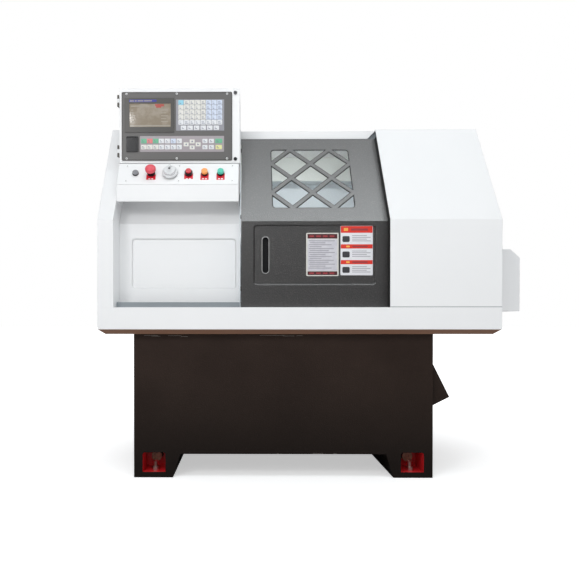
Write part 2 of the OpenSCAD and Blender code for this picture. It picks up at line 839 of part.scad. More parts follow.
module cnc_panel() {
    back = 5;
    unit = [panel_w - 40, 48, panel_h - 48];
    color([0.13, 0.13, 0.15]) place() {
        along_y(panel_face_y, panel_proud - hair) translate([panel_x, panel_z]) rounded(panel_w, panel_h, 5);
        block(panel_x + 6, box_face_y - hair, panel_z + 6, [panel_w - 12, back + hair, panel_h - 12]);
        block(panel_x + 20, box_face_y + back, panel_z + 36, unit);
    }
}

// Drawing on the controller's face: x to the right, z up from its lower left corner, standing proud
module panel_pad(u, v, w, h, proud, r = 1) {
    along_y(panel_face_y - proud, proud) translate([panel_x + u, panel_z + v]) rounded(w, h, r);
}

module cnc_screen() {
    color([0.35, 0.3, 0.28]) place() {
        difference() {
            panel_pad(11, 106, 189, 131, 2, 3);
            panel_pad(30, 127, 157, 89, 3, 1);
        }
        panel_pad(30, 127, 157, 89, 0.8, 1);
    }
}

// One key, by its lower left corner on the panel
module key(u, v) panel_pad(u, v, 18, 15.5, 1);

module panel_keys() {
    low_rows = [43, 66];
    arrows = [[237, 53.5], [258.5, 64.5], [281, 53.5], [258.5, 42]];
    color([0.85, 0.85, 0.82]) place() {
        for (col = [0:7], row = [0:4]) key(216 + 20.95 * col, 136 + 18.8 * row);
        for (col = [0:5]) key(226 + 24.9 * col, 116);
        for (col = [0:6], v = low_rows) key(75 + 22.5 * col, v);
        for (p = arrows) key(p[0], p[1]);
        for (u = [308, 333, 361], v = low_rows) key(u, v);
    }
}

// The socket cover hangs on its upper edge and lifts outwards
module usb_cover() {
    color([0.05, 0.05, 0.06]) place() {
        panel_pad(usb_u, usb_v, usb_w, usb_h, 3, 2);
        rod_x(panel_x + usb_u + 2, panel_face_y - 2.5, panel_z + usb_v + usb_h, 2, usb_w - 4);
    }
}

// A quarter-turn lock: a slotted head in front, and behind it a tongue that reaches past the box's edge
module quarter_turn(z) {
    head = 4;
    slot = [9, 1.6];
    tongue = [18, 3, 12];
    color([0.08, 0.08, 0.09]) place() {
        difference() {
            rod_y(lock_x, box_face_y - head, z, lock_head_r, head - slide_gap);
            block(lock_x - slot[0] / 2, box_face_y - head - 1, z - slot[1] / 2, [slot[0], 3, slot[1]]);
        }
        rod_y(lock_x, box_face_y - 1, z, lock_r, box_door_t - 4);
        block(lock_x - 6, box_face_y + box_door_t - 6, z - tongue[2] / 2, tongue);
    }
}

module lock_top() quarter_turn(lock_z[1]);

module lock_bottom() quarter_turn(lock_z[0]);

module right_housing() {
    t = guard_t;
    w = tray_w - housing_x;
    color([0.92, 0.92, 0.93]) place() difference() {
        along_x(housing_x, w) polygon([
            [0, tray_top], [0, break_z], [slope_run, roof_z], [guard_d, roof_z], [guard_d, tray_top]
        ]);
        along_x(housing_x - 1, w - t + 1) polygon(concat(
            front_line(tray_top - 1, roof_z - t, 0, t),
            [[guard_d + 1, roof_z - t], [guard_d + 1, tray_top - 1]]));
        block(tray_w - 2 * t, motor_cover_y + 6, tray_top + 4,
            [3 * t, motor_cover_d - 12, motor_cover_h - 24]);
    }
}

module motor_cover() {
    t = guard_t;
    z0 = tray_top - 12;
    w = motor_cover_w;
    h = motor_cover_h;
    cut = [37, 34];
    color([0.88, 0.89, 0.9]) place() difference() {
        along_y(motor_cover_y, motor_cover_d) translate([tray_w, z0])
            polygon([[0, 0], [w, 0], [w, h - cut[1]], [w - cut[0], h], [0, h]]);
        along_y(motor_cover_y + t, motor_cover_d - 2 * t) translate([tray_w - 1, z0 + t]) polygon([
            [0, 0], [w - t + 1, 0], [w - t + 1, h - cut[1] - t - 1],
            [w - cut[0], h - 2 * t], [0, h - 2 * t]
        ]);
    }
}

// The spout leaves the pedestal's right side, tilted down and outwards
module spout_solid(inset, extra) {
    translate([base_x + base_w + spout_out, spout_y + inset, spout_z]) rotate([0, -spout_angle, 0])
        translate([-spout_thick + inset, 0, -extra])
        cube([spout_thick - 2 * inset, spout_w - 2 * inset, spout_l + 90 + extra]);
}

module spout_hollow(reach) {
    intersection() {
        spout_solid(spout_t, 20);
        block(base_x + base_w - reach, spout_y - 20, 0, [reach + 1, spout_w + 40, base_h]);
    }
}

module drain_spout() {
    color([0.15, 0.13, 0.12]) place() difference() {
        spout_solid(0, 0);
        spout_solid(spout_t, 20);
        block(base_x + base_w - 400, spout_y - 20, 0, [400, spout_w + 40, base_h]);
    }
}

module door_rails() {
    rail_x0 = column_w;
    rail_end = tray_w - guard_t;
    top_x0 = partition_end + 1;
    color([0.42, 0.45, 0.5]) place() {
        block(rail_x0, rail_y, tray_top, [rail_end - rail_x0, rail_t, rail_h]);
        block(top_x0, top_rail_y, roof_z - guard_t - top_rail_h, [rail_end - top_x0, rail_t, top_rail_h]);
    }
}

module wiper_seal() {
    seal_w = 10;
    color([0.06, 0.06, 0.07]) place() along_x(housing_x, seal_w) polygon(concat(
        front_line(tray_top, door_top, 0, guard_t),
        reversed(front_line(tray_top, door_top, door_set - 0.5))));
}

module door_shell() {
    t = guard_t;
    flange_low = tray_top + rail_h + 4;
    flange_high = door_top - 37;
    back_y = door_set + t;
    shelf = 12;
    color([0.2, 0.18, 0.17]) place() {
        difference() {
            front_sheet(door_x, door_w, door_bottom, door_top, door_set, t);
            pressed_cut(field_x, door_set, field_z, field_w, field_h, t);
            on_slope(door_set) translate([door_x + window_in, window_up, -10]) linear_extrude(20)
                rounded(window_w, window_h, 14);
        }
        difference() {
            pressed_field(field_x, door_set, field_z, field_w, field_h, t);
            along_y(door_set, 20) translate([pull_x + pull_lip, pull_z + pull_lip])
                rounded(pull_w - 2 * pull_lip, pull_l - 2 * pull_lip, pull_w / 2 - pull_lip - 0.5);
        }
        on_slope(door_set) translate([door_x + window_in, window_up, -t]) linear_extrude(t)
            lattice(window_w, window_h);
        // Side flanges, with holes for the bumpers' stems in the left one
        difference() {
            for (x = [door_x, door_x + door_w - t]) along_x(x, t) polygon(concat(
                front_line(flange_low, flange_high, door_set),
                reversed(front_line(flange_low, flange_high, door_set + door_flange))));
            for (z = bumper_z) rod_x(door_x - 1, bumper_y(z), z, bumper_stem_r, t + 2);
        }
        // Bottom and top flanges
        block(door_x, back_y - hair, door_bottom, [door_w, shelf, t]);
        along_x(door_x, door_w) polygon([
            [slope_at(door_top, door_set), door_top], [slope_at(door_top, door_set) + shelf, door_top],
            [slope_at(door_top, door_set) + shelf, door_top - t],
            [slope_at(door_top, door_set, t / 2), door_top - t]
        ]);
    }
}

// Diamond bars across the window, running corner to corner through quarter points
module lattice(w, h) {
    bars = [
        [[0.25, 0], [0, 0.25]], [[0.75, 0], [0, 0.75]], [[1, 0.25], [0.25, 1]], [[1, 0.75], [0.75, 1]],
        [[0, 0.25], [0.75, 1]], [[0.25, 0], [1, 0.75]], [[0.75, 0], [1, 0.25]], [[0, 0.75], [0.25, 1]]
    ];
    intersection() {
        translate([-1, -1]) square([w + 2, h + 2]);
        for (b = bars) {
            a = [b[0][0] * w, b[0][1] * h];
            d = [b[1][0] * w, b[1][1] * h] - a;
            translate(a) rotate(atan2(d[1], d[0])) translate([-lattice_w, -lattice_w / 2])
                square([norm(d) + 2 * lattice_w, lattice_w]);
        }
    }
}

module window_pane() {
    lap = 14;
    color([0.75, 0.82, 0.86, 0.5]) place() on_slope(door_set)
        translate([door_x + window_in - lap, window_up - lap, -guard_t - pane_t - hair])
        linear_extrude(pane_t) rounded(window_w + 2 * lap, window_h + 2 * lap, 14);
}

module flush_pull() {
    face_y = door_set + press_depth;
    r = pull_w / 2;
    color([0.07, 0.07, 0.08]) place() difference() {
        union() {
            along_y(face_y - 2, 2) translate([pull_x, pull_z]) rounded(pull_w, pull_l, r - 0.5);
            along_y(face_y, pull_deep) translate([pull_x + pull_lip, pull_z + pull_lip])
                rounded(pull_w - 2 * pull_lip - slide_gap, pull_l - 2 * pull_lip - slide_gap, r - pull_lip - 0.5);
        }
        along_y(face_y - 3, pull_deep + 1) translate([pull_x + pull_lip + 2, pull_z + pull_lip + 2])
            rounded(pull_w - 2 * pull_lip - 4, pull_l - 2 * pull_lip - 4, r - pull_lip - 2.5);
    }
}

module door_bumpers() {
    color([0.05, 0.05, 0.05]) place()
        for (z = bumper_z) {
            rod_x(partition_end + slide_gap, bumper_y(z), z, bumper_r, door_x - partition_end - slide_gap);
            rod_x(door_x - hair, bumper_y(z), z, bumper_stem_r, bumper_r);
        }
}

module guide_shoes() {
    shoe_w = 40;
    low_z = door_bottom + guard_t + 1;
    low_h = 22;
    top_z = door_top - guard_t - 30;
    top_y = roof_front_y - 1;
    color([0.9, 0.88, 0.8]) place()
        for (x = [door_x + 40, door_x + door_w - 40 - shoe_w]) {
            difference() {
                block(x, door_set + guard_t, low_z, [shoe_w, 27, low_h]);
                block(x - 1, rail_y - shoe_gap, low_z - 1,
                    [shoe_w + 2, rail_t + 2 * shoe_gap, tray_top + rail_h + 2 - low_z]);
            }
            difference() {
                block(x, top_y, top_z, [shoe_w, 26, 30]);
                block(x - 1, top_rail_y - shoe_gap, roof_z - guard_t - top_rail_h - 2,
                    [shoe_w + 2, rail_t + 2 * shoe_gap, top_rail_h]);
            }
        }
}

module bed_section() {
    wall = 30;
    difference() {
        union() {
            translate([bed_y, bed_bottom]) square([bed_w, bed_h]);
            way_ridge(0);
        }
        translate([bed_y + wall + 6, bed_bottom + 20]) square([bed_w - 2 * wall - 12, bed_h]);
    }
}

// The vee way along the bed's front wall
module way_ridge(gap) {
    polygon([
        [way_y - way_w / 2 - gap, bed_top - 0.1], [way_y + way_w / 2 + gap, bed_top - 0.1],
        [way_y, bed_top + way_h + gap]
    ]);
}

module machine_bed() {
    foot_l = 180;
    rib_t = 16;
    rib_pitch = 200;
    lug = [lug_t, bed_y - z_screw_y + 35, 70];
    color([0.35, 0.42, 0.4]) place() {
        difference() {
            along_x(bed_x, bed_l) bed_section();
            // Windows through the side walls between the ribs
            for (x = [bed_x + 60:rib_pitch:bed_x + bed_l - rib_pitch]) along_y(bed_y - 1, bed_w + 2)
                translate([x, bed_bottom + 45]) rounded(rib_pitch - 60, bed_h - 100, 20);
        }
        for (x = [bed_x + 8:rib_pitch:bed_x + bed_l])
            block(x, bed_y + 20, bed_bottom + 10, [rib_t, bed_w - 40, bed_h - 70]);
        for (x = [bed_x + 40, bed_x + bed_l - 40 - foot_l])
            block(x, bed_y - 10, tray_floor, [foot_l, bed_w + 20, bed_bottom - tray_floor]);
        // Bearing lugs for the lengthways screw
        for (x = [left_lug_x, bed_x + bed_l - lug_t]) difference() {
            block(x, z_screw_y - 35, z_screw_z - 35, lug);
            rod_x(x - 1, z_screw_y, z_screw_z, z_screw_r + run_gap, lug_t + 2);
        }
    }
}

module headstock() {
    front_r = nose_r;
    rear_r = 45;
    bore_r = 42;
    top_r = headstock_w / 2;
    color([0.4, 0.47, 0.45]) place() difference() {
        union() {
            along_x(headstock_x, headstock_l) difference() {
                union() {
                    translate([spindle_y - top_r, bed_top]) square([headstock_w, centre_h]);
                    translate([spindle_y, spindle_z]) circle(top_r);
                }
                way_ridge(slide_gap);
            }
            block(headstock_x + 60, spindle_y - 50, spindle_z + 60, [140, 100, top_r - 45]);
        }
        rod_x(headstock_x - 1, spindle_y, spindle_z, bore_r, headstock_l + 2);
        rod_x(headstock_x - 1, spindle_y, spindle_z, rear_r, 41);
        rod_x(headstock_end - 55, spindle_y, spindle_z, front_r, 56);
    }
}

module spindle_bearings() {
    color([0.75, 0.75, 0.77]) place() {
        turned_x(headstock_x + 4, spindle_y, spindle_z)
            translate([spindle_rear_r + run_gap, 0]) square([45 - spindle_rear_r - run_gap, 36]);
        turned_x(headstock_end - 55, spindle_y, spindle_z)
            translate([spindle_r + run_gap, 0]) square([nose_r - spindle_r - run_gap, 50]);
    }
}

module spindle() {
    tail_x = pulley_x - 10;
    step_x = headstock_x + 60;
    nose_x = headstock_end + 4;
    l = spindle_end - tail_x;
    color([0.78, 0.78, 0.8]) place() turned_x(tail_x, spindle_y, spindle_z) polygon([
        [spindle_bore_r, 0], [spindle_rear_r - 5, 0], [spindle_rear_r - 5, headstock_x - 4 - tail_x],
        [spindle_rear_r, headstock_x - 4 - tail_x], [spindle_rear_r, step_x - tail_x],
        [spindle_r, step_x - tail_x], [spindle_r, nose_x - tail_x], [nose_r, nose_x - tail_x],
        [nose_r, l], [spindle_bore_r, l]
    ]);
}

module pulley_profile(bore, r, w) {
    rim = r + 3;
    polygon([[bore, 0], [rim, 0], [rim, 2], [r, 2], [r, w - 2], [rim, w - 2], [rim, w], [bore, w]]);
}

module spindle_pulley() {
    color([0.5, 0.5, 0.52]) place() turned_x(pulley_x, spindle_y, spindle_z)
        pulley_profile(spindle_rear_r - 5, spindle_pulley_r, pulley_w);
}

module motor_pulley() {
    color([0.5, 0.5, 0.52]) place() {
        turned_x(pulley_x, spindle_y, motor_z) pulley_profile(0, motor_pulley_r, pulley_w);
        rod_x(pulley_x, spindle_y, motor_z, motor_shaft_r, motor_x - pulley_x + 30);
    }
}

// Outline around two pulleys one above the other, at a distance outside their rims
module belt_outline(grow) {
    top_r = spindle_pulley_r + grow;
    low_r = motor_pulley_r + grow;
    lean = asin((top_r - low_r) / (spindle_z - motor_z));
    up = [cos(lean), -sin(lean)];
    translate([spindle_y, spindle_z]) circle(top_r);
    translate([spindle_y, motor_z]) circle(low_r);
    polygon([
        [spindle_y + top_r * up[0], spindle_z + top_r * up[1]],
        [spindle_y - top_r * up[0], spindle_z + top_r * up[1]],
        [spindle_y - low_r * up[0], motor_z + low_r * up[1]],
        [spindle_y + low_r * up[0], motor_z + low_r * up[1]]
    ]);
}

module drive_belt() {
    side_gap = (pulley_w - 4 - belt_w) / 2 + 0.3;
    color([0.06, 0.06, 0.06]) place() along_x(pulley_x + 2 + side_gap, belt_w - 0.6) difference() {
        belt_outline(belt_gap + belt_t);
        belt_outline(belt_gap);
    }
}

// Slots for the jaws in the chuck's face, wider at the bottom for their feet
module chuck_slots(gap) {
    for (a = [0:120:240]) translate([0, 0, chuck_l]) rotate([0, 0, a]) {
        translate([12 - gap, -jaw_w / 2 - gap, -jaw_foot - gap]) cube([chuck_r, jaw_w + 2 * gap, 20]);
        translate([12 - gap, -jaw_w / 2 - jaw_tee - gap, -jaw_foot - gap])
            cube([chuck_r, jaw_w + 2 * jaw_tee + 2 * gap, 6 + 2 * gap]);
    }
}

// Puts a drawing on the chuck's rear face, with Z along the spindle
module on_chuck() translate([chuck_x, spindle_y, spindle_z]) rotate([0, 90, 0]) children();

module chuck_body() {
    edge = 4;
    key_hole = [7, 20];
    color([0.62, 0.62, 0.64]) place() on_chuck() difference() {
        rotate_extrude() polygon([
            [spindle_bore_r, 0], [chuck_r - edge, 0], [chuck_r, edge], [chuck_r, chuck_l - edge],
            [chuck_r - edge, chuck_l], [spindle_bore_r, chuck_l]
        ]);
        chuck_slots(0.25);
        for (a = [60:120:300]) rotate([0, 0, a]) translate([chuck_r - 16, 0, chuck_l / 2 - 10])
            rotate([0, 90, 0]) cylinder(r = key_hole[0], h = key_hole[1]);
    }
}

// A stepped jaw with a T-shaped foot, in the slot at the given angle
module chuck_jaw(angle) {
    inner = 26;
    steps = [[inner, 44, 8], [inner, 30, 22], [inner, 16, 36]];
    color([0.55, 0.55, 0.57]) place() on_chuck() rotate([0, 0, angle]) translate([0, 0, chuck_l]) {
        translate([inner, -jaw_w / 2, -jaw_foot]) cube([46, jaw_w, jaw_foot + 1]);
        translate([inner, -jaw_w / 2 - jaw_tee, -jaw_foot]) cube([46, jaw_w + 2 * jaw_tee, 6]);
        for (s = steps) translate([s[0], -jaw_w / 2, 0]) cube([s[1], jaw_w, s[2]]);
    }
}

module chuck_jaw_1() chuck_jaw(0);

module chuck_jaw_2() chuck_jaw(120);

module chuck_jaw_3() chuck_jaw(240);

module main_motor() {
    fin = [motor_l - 110, 3, 12];
    core_r = motor_r - 9;
    face_x = motor_x + 8;
    fan_l = 60;
    foot = [160, 150, 14];
    web = [foot[0], 18, motor_z - base_floor - 40];
    terminal_box = [90, 80, 60];
    color([0.3, 0.38, 0.45]) place() difference() {
        union() {
            rod_x(face_x, spindle_y, motor_z, core_r, motor_l - fan_l);
            for (a = [-105:15:105]) translate([face_x + 20, spindle_y, motor_z]) rotate([a, 0, 0])
                translate([0, -fin[1] / 2, core_r - 4]) cube(fin);
            rod_x(motor_x, spindle_y, motor_z, motor_r, 14);
            rod_x(face_x + motor_l - fan_l - 14, spindle_y, motor_z, motor_r, fan_l);
            block(face_x + 30, spindle_y - foot[1] / 2, base_floor, foot);
            for (y = [-70, 52]) block(face_x + 30, spindle_y + y, base_floor, web);
            block(face_x + 60, spindle_y - terminal_box[1] / 2, motor_z + core_r - 15, terminal_box);
        }
        rod_x(motor_x - 1, spindle_y, motor_z, motor_shaft_r + run_gap, 40);
    }
}

// Section of the dovetail between saddle and cross slide, grown by a gap
module dovetail(gap) polygon([
    [-50 - gap, -1], [50 + gap, -1], [50 + gap, 0],
    [62 + gap, dovetail_h + gap], [-62 - gap, dovetail_h + gap], [-50 - gap, 0]
]);

module saddle() {
    x0 = carriage_x - saddle_l / 2;
    y_len = saddle_y1 - saddle_y0;
    color([0.5, 0.53, 0.54]) place() difference() {
        union() {
            along_x(x0, saddle_l) difference() {
                translate([saddle_y0, bed_top]) square([y_len, saddle_t]);
                way_ridge(slide_gap);
            }
            along_y(saddle_y0 + 10, y_len - 10) translate([carriage_x, saddle_top]) dovetail(0);
            // Apron bracket with the nut of the lengthways screw
            block(carriage_x - 45, saddle_y0, z_screw_z - 34, [90, 62, bed_top - z_screw_z + 35]);
            // Bearing plate of the crossways screw
            block(carriage_x - 45, saddle_y1 - 15, saddle_top - 1, [90, 15, 58]);
        }
        block(carriage_x - channel_r, saddle_y0 + 9, saddle_top - 8,
            [2 * channel_r, y_len - 24, dovetail_h + 20]);
        rod_x(x0 - 1, z_screw_y, z_screw_z, z_screw_r + run_gap, saddle_l + 2);
        rod_y(carriage_x, saddle_y1 - 16, x_screw_z, x_screw_r + run_gap, 18);
    }
}

module z_screw() {
    coupling_x = bed_x + bed_l + 4;
    start = left_lug_x - 6;
    color([0.72, 0.72, 0.74]) place() {
        rod_x(start, z_screw_y, z_screw_z, z_screw_r, coupling_x + 2 - start);
        rod_x(coupling_x, z_screw_y, z_screw_z, coupling_r, bracket_l - 6);
    }
}

// A length of square section around the lengthways screw's axis
module around_z_screw(x, l, side) block(x, z_screw_y - side / 2, z_screw_z - side / 2, [l, side, side]);

module z_servo() {
    side = 100;
    flange = [10, 110];
    body_l = 130;
    cap = [40, 88];
    plug = [44, 40, 22];
    body_x = servo_x + flange[0];
    color([0.15, 0.15, 0.17]) place() difference() {
        union() {
            around_z_screw(bed_x + bed_l, bracket_l, flange[1]);
            around_z_screw(servo_x, flange[0], flange[1]);
            around_z_screw(body_x, body_l, side);
            around_z_screw(body_x + body_l, cap[0], cap[1]);
            block(servo_x + 60, z_screw_y - plug[1] / 2, z_screw_z + side / 2, plug);
        }
        rod_x(bed_x + bed_l - 1, z_screw_y, z_screw_z, bracket_r, bracket_l + 1);
    }
}

module cross_slide() {
    low = saddle_top + slide_gap;
    color([0.56, 0.58, 0.6]) place() difference() {
        union() {
            difference() {
                block(carriage_x - post_w / 2, slide_y0, low, [post_w, slide_l, slide_top - low]);
                along_y(slide_y0 - 1, slide_l + 2) translate([carriage_x, saddle_top]) dovetail(slide_gap);
            }
            // Nut of the crossways screw
            block(carriage_x - channel_r + 1, post_y + 70, saddle_top - 6,
                [2 * channel_r - 2, 60, dovetail_h + 12]);
            translate([carriage_x, post_y, slide_top]) cylinder(r = 65, h = post_base_h);
        }
        rod_y(carriage_x, slide_y0, x_screw_z, x_screw_r + run_gap, slide_l + 2);
    }
}

module x_screw() {
    start = saddle_y0 + 14;
    color([0.72, 0.72, 0.74]) place()
        rod_y(carriage_x, start, x_screw_z, x_screw_r, saddle_y1 + 18 - start);
}

module x_servo() {
    side = 80;
    z0 = x_screw_z - side / 2;
    color([0.15, 0.15, 0.17]) place() difference() {
        union() {
            block(carriage_x - side / 2, x_servo_y, z0, [side, 100, side]);
            block(carriage_x - side / 2 + 5, x_servo_y + 100, z0 + 5, [side - 10, 22, side - 10]);
            block(carriage_x - 16, x_servo_y + 50, z0 + side, [32, 40, 18]);
        }
        rod_y(carriage_x, x_servo_y - 1, x_screw_z, x_screw_r + run_gap, 24);
    }
}

module tool_turret() {
    half = post_w / 2;
    slot_z = tool_shank_z - post_z;
    reach = half + tool_out;
    tool_mid = -half + tool_w / 2;
    color([0.6, 0.62, 0.64]) place() translate([carriage_x, post_y, post_z]) {
        difference() {
            translate([-half, -half, 0]) cube([post_w, post_w, post_h]);
            for (a = [0:90:270]) rotate([0, 0, a])
                translate([-half - 1, -half - 1, slot_z]) cube([tool_w + 4, post_w + 2, post_slot]);
        }
        cylinder(r = 30, h = post_h + 14);
        // Four tools, each lying in its slot and standing out past one corner
        for (a = [0:90:270]) rotate([0, 0, a]) {
            translate([-half, -half + 12, slot_z]) cube([tool_w, reach + half - 12, tool_w]);
            translate([tool_mid, reach - 2, slot_z + tool_w - 5]) cylinder(r = 8, h = 5, $fn = 3);
            for (y = [-45, 0, 45]) {
                translate([tool_mid, y, slot_z + tool_w]) cylinder(r = 5, h = post_slot);
                translate([tool_mid, y, post_h]) cylinder(r = 6, h = 8, $fn = 6);
            }
        }
    }
}

module coolant_tank() {
    t = 2.5;
    color([0.45, 0.48, 0.5]) place() difference() {
        block(tank_x, tank_y, base_floor, [tank_l, tank_d, tank_h]);
        block(tank_x + t, tank_y + t, base_floor + t, [tank_l - 2 * t, tank_d - 2 * t, tank_h]);
    }
}

// The pump hangs in the tank from a plate across its rear edge
module coolant_pump() {
    plate = [120, 130, 5];
    motor_h = 130;
    cap_h = 24;
    stem_h = 110;
    color([0.2, 0.35, 0.5]) place() {
        block(pump_x - plate[0] / 2, tank_y + tank_d - plate[1], tank_top, plate);
        translate([pump_x, pump_y, tank_top + plate[2]]) cylinder(r = pump_r, h = motor_h);
        translate([pump_x, pump_y, tank_top + plate[2] + motor_h]) cylinder(r = pump_r + 3, h = cap_h);
        translate([pump_x, pump_y, tank_top - stem_h]) cylinder(r = pump_r - 7, h = stem_h + 1);
        rod_y(pump_x, pump_y, pipe_low, pipe_r + 5, pump_r + 17);
    }
}

module coolant_pipe() {
    start = pump_y + pump_r + 17;
    drop = 50;
    color([0.1, 0.1, 0.11]) place() {
        rod_y(pump_x, start, pipe_low, pipe_r, pipe_y - start);
        translate([pump_x, pipe_y, pipe_low]) sphere(r = pipe_r);
        translate([pump_x, pipe_y, pipe_low]) cylinder(r = pipe_r, h = pipe_top - pipe_low);
        translate([pump_x, pipe_y, pipe_top]) sphere(r = pipe_r);
        rod_y(pump_x, nozzle_y, pipe_top, pipe_r, pipe_y - nozzle_y);
        translate([pump_x, nozzle_y, pipe_top]) sphere(r = pipe_r);
        translate([pump_x, nozzle_y, pipe_top]) rotate([180, 0, 0]) {
            cylinder(r = pipe_r, h = drop);
            translate([0, 0, drop - 1]) cylinder(r1 = pipe_r, r2 = 4, h = 22);
        }
    }
}

// The rear door turns on two pins beside its left edge
module cabinet_shell() {
    t = guard_t;
    d = guard_d - cabinet_y;
    h = cabinet_top - tray_floor;
    leaf_y = guard_d - 20;
    leaf_h = cabinet_knuckle_h - slide_gap;
    color([0.82, 0.83, 0.84]) place()
        for (z = cabinet_hinge_z) {
            translate([cabinet_hinge_x, cabinet_hinge_y, z]) {
                cylinder(r = cabinet_pin_r, h = 2 * cabinet_knuckle_h);
                cylinder(r = cabinet_knuckle_r, h = leaf_h);
            }
            block(cabinet_hinge_x - 2, leaf_y, z, [2, cabinet_hinge_y - leaf_y, leaf_h]);
            block(cabinet_hinge_x - 2, leaf_y, z, [4.5, 12, leaf_h]);
        }
    color([0.82, 0.83, 0.84]) place() difference() {
        block(cabinet_x, cabinet_y, tray_floor, [cabinet_w, d, h]);
        block(cabinet_x + t, cabinet_y + t, tray_floor + t, [cabinet_w - 2 * t, d - 2 * t, h - 2 * t]);
        block(cabinet_x + 20, cabinet_y + d - 2 * t, cabinet_door_z + 10,
            [cabinet_w - 40, 3 * t, cabinet_top - cabinet_door_z - 30]);
    }
}

// Three ribbed drives, a controller, five contactors and a transformer on the cabinet's front wall
module servo_drives() {
    y = cabinet_y + guard_t;
    room = guard_d - cabinet_y;
    drive = [62, 0.6 * room, 190];
    rib_slot = [drive[0] + 2, 0.33 * room, 6];
    drive_z = roof_z - 300;
    color([0.3, 0.32, 0.35]) place() {
        for (x = [60, 140, 220]) difference() {
            block(cabinet_x + x, y, drive_z, drive);
            for (k = [0:6]) block(cabinet_x + x - 1, y + 0.165 * room, drive_z + 15 + 22 * k, rib_slot);
        }
        block(cabinet_x + 320, y, drive_z - 30, [130, 0.66 * room, 220]);
        for (i = [0:4]) block(cabinet_x + 60 + 62 * i, y, drive_z - 140, [48, 0.38 * room, 80]);
        block(cabinet_x + 90, y, tray_floor + guard_t, [160, 0.77 * room, 150]);
    }
}

module cabinet_door() {
    t = 2;
    h = cabinet_top - cabinet_door_z - 10;
    y0 = guard_d + slide_gap;
    vent = [110, 2 * cabinet_door_t, 5];
    leaf = [24, 2.5, cabinet_knuckle_h];
    color([0.84, 0.85, 0.86]) place() {
        difference() {
            block(cabinet_x, y0, cabinet_door_z, [cabinet_w, cabinet_door_t, h]);
            block(cabinet_x + t, y0 - t, cabinet_door_z + t, [cabinet_w - 2 * t, cabinet_door_t, h - 2 * t]);
            for (k = [0:5]) block(cabinet_x + cabinet_w - 160, y0, cabinet_door_z + 60 + 14 * k, vent);
        }
        rod_y(cabinet_x + cabinet_w - 35, y0 + cabinet_door_t - hair, cabinet_door_z + h / 2, 12, 8);
        for (z = cabinet_hinge_z) difference() {
            union() {
                translate([cabinet_hinge_x, cabinet_hinge_y, z + cabinet_knuckle_h])
                    cylinder(r = cabinet_knuckle_r, h = cabinet_knuckle_h);
                block(cabinet_hinge_x, y0 + cabinet_door_t - hair, z + cabinet_knuckle_h, leaf);
            }
            translate([cabinet_hinge_x, cabinet_hinge_y, z + cabinet_knuckle_h - 1])
                cylinder(r = cabinet_pin_r + run_gap, h = cabinet_knuckle_h + 2);
        }
    }
}

base_cabinet();
levelling_pockets();
levelling_bolts();
chip_tray();
upper_guard();
headstock_cover();
splash_guard();
console_housing();
button_plate();
switch_barrels();
control_box();
panel_hinges();
right_housing();
motor_cover();
drain_spout();
door_rails();
wiper_seal();
machine_bed();
headstock();
spindle_bearings();
main_motor();
drive_belt();
z_servo();
coolant_tank();
coolant_pump();
coolant_pipe();
cabinet_shell();
servo_drives();
door_shell();
window_pane();
flush_pull();
door_bumpers();
guide_shoes();
panel_door();
cnc_panel();
cnc_screen();
panel_keys();
usb_cover();
lock_top();
lock_bottom();
estop_head();
key_plug();
feed_handwheel();
red_button();
orange_button();
green_button();
spindle();
spindle_pulley();
chuck_body();
chuck_jaw_1();
chuck_jaw_2();
chuck_jaw_3();
motor_pulley();
saddle();
z_screw();
cross_slide();
x_screw();
x_servo();
tool_turret();
cabinet_door();
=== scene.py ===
"""Dresses the CAD model of a small flat-bed CNC turning lathe: coats, cast and ground metal, keys, plates,
screws and the studio. Metres, in the model's own frame: X along the spindle, Y away from the operator, Z
up."""
import json
import math

import bpy
import numpy as np
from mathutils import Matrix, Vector


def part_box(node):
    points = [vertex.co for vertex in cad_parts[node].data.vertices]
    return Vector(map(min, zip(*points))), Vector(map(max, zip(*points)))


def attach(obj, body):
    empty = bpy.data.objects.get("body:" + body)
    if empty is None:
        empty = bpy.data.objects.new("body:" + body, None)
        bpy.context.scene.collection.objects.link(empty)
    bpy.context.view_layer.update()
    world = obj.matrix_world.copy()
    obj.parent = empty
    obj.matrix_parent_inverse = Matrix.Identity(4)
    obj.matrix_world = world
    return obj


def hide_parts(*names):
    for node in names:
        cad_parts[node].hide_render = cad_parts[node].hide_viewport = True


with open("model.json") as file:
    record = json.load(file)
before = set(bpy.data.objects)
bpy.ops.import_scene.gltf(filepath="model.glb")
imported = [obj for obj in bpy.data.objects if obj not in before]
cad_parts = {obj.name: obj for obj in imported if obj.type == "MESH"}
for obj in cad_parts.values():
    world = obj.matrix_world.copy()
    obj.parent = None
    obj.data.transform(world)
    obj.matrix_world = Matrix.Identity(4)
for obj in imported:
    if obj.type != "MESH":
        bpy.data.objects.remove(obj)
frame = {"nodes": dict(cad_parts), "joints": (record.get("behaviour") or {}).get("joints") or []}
nodes = frame["nodes"]
joints = {joint["name"]: joint for joint in frame["joints"]}
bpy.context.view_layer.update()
MM = 0.001
RIGHT, UP = np.array([1.0, 0.0, 0.0]), np.array([0.0, 0.0, 1.0])


# Enclosure sheets: 2.5 mm steel, laser cut, folded along one bend line and powder coated in satin white.
# The coat has a faint orange peel, and it rounds every cut edge and fold.
def colour_mix(tree, factor, target):
    """A colour Mix node, driven by the factor and led to the target. Gives back its two colour inputs."""
    blend = tree.nodes.new("ShaderNodeMix")
    blend.data_type = "RGBA"
    tree.links.new(factor, blend.inputs["Factor"])
    tree.links.new(next(s for s in blend.outputs if s.identifier == "Result_Color"), target)
    return [next(s for s in blend.inputs if s.identifier == key) for key in ("A_Color", "B_Color")]


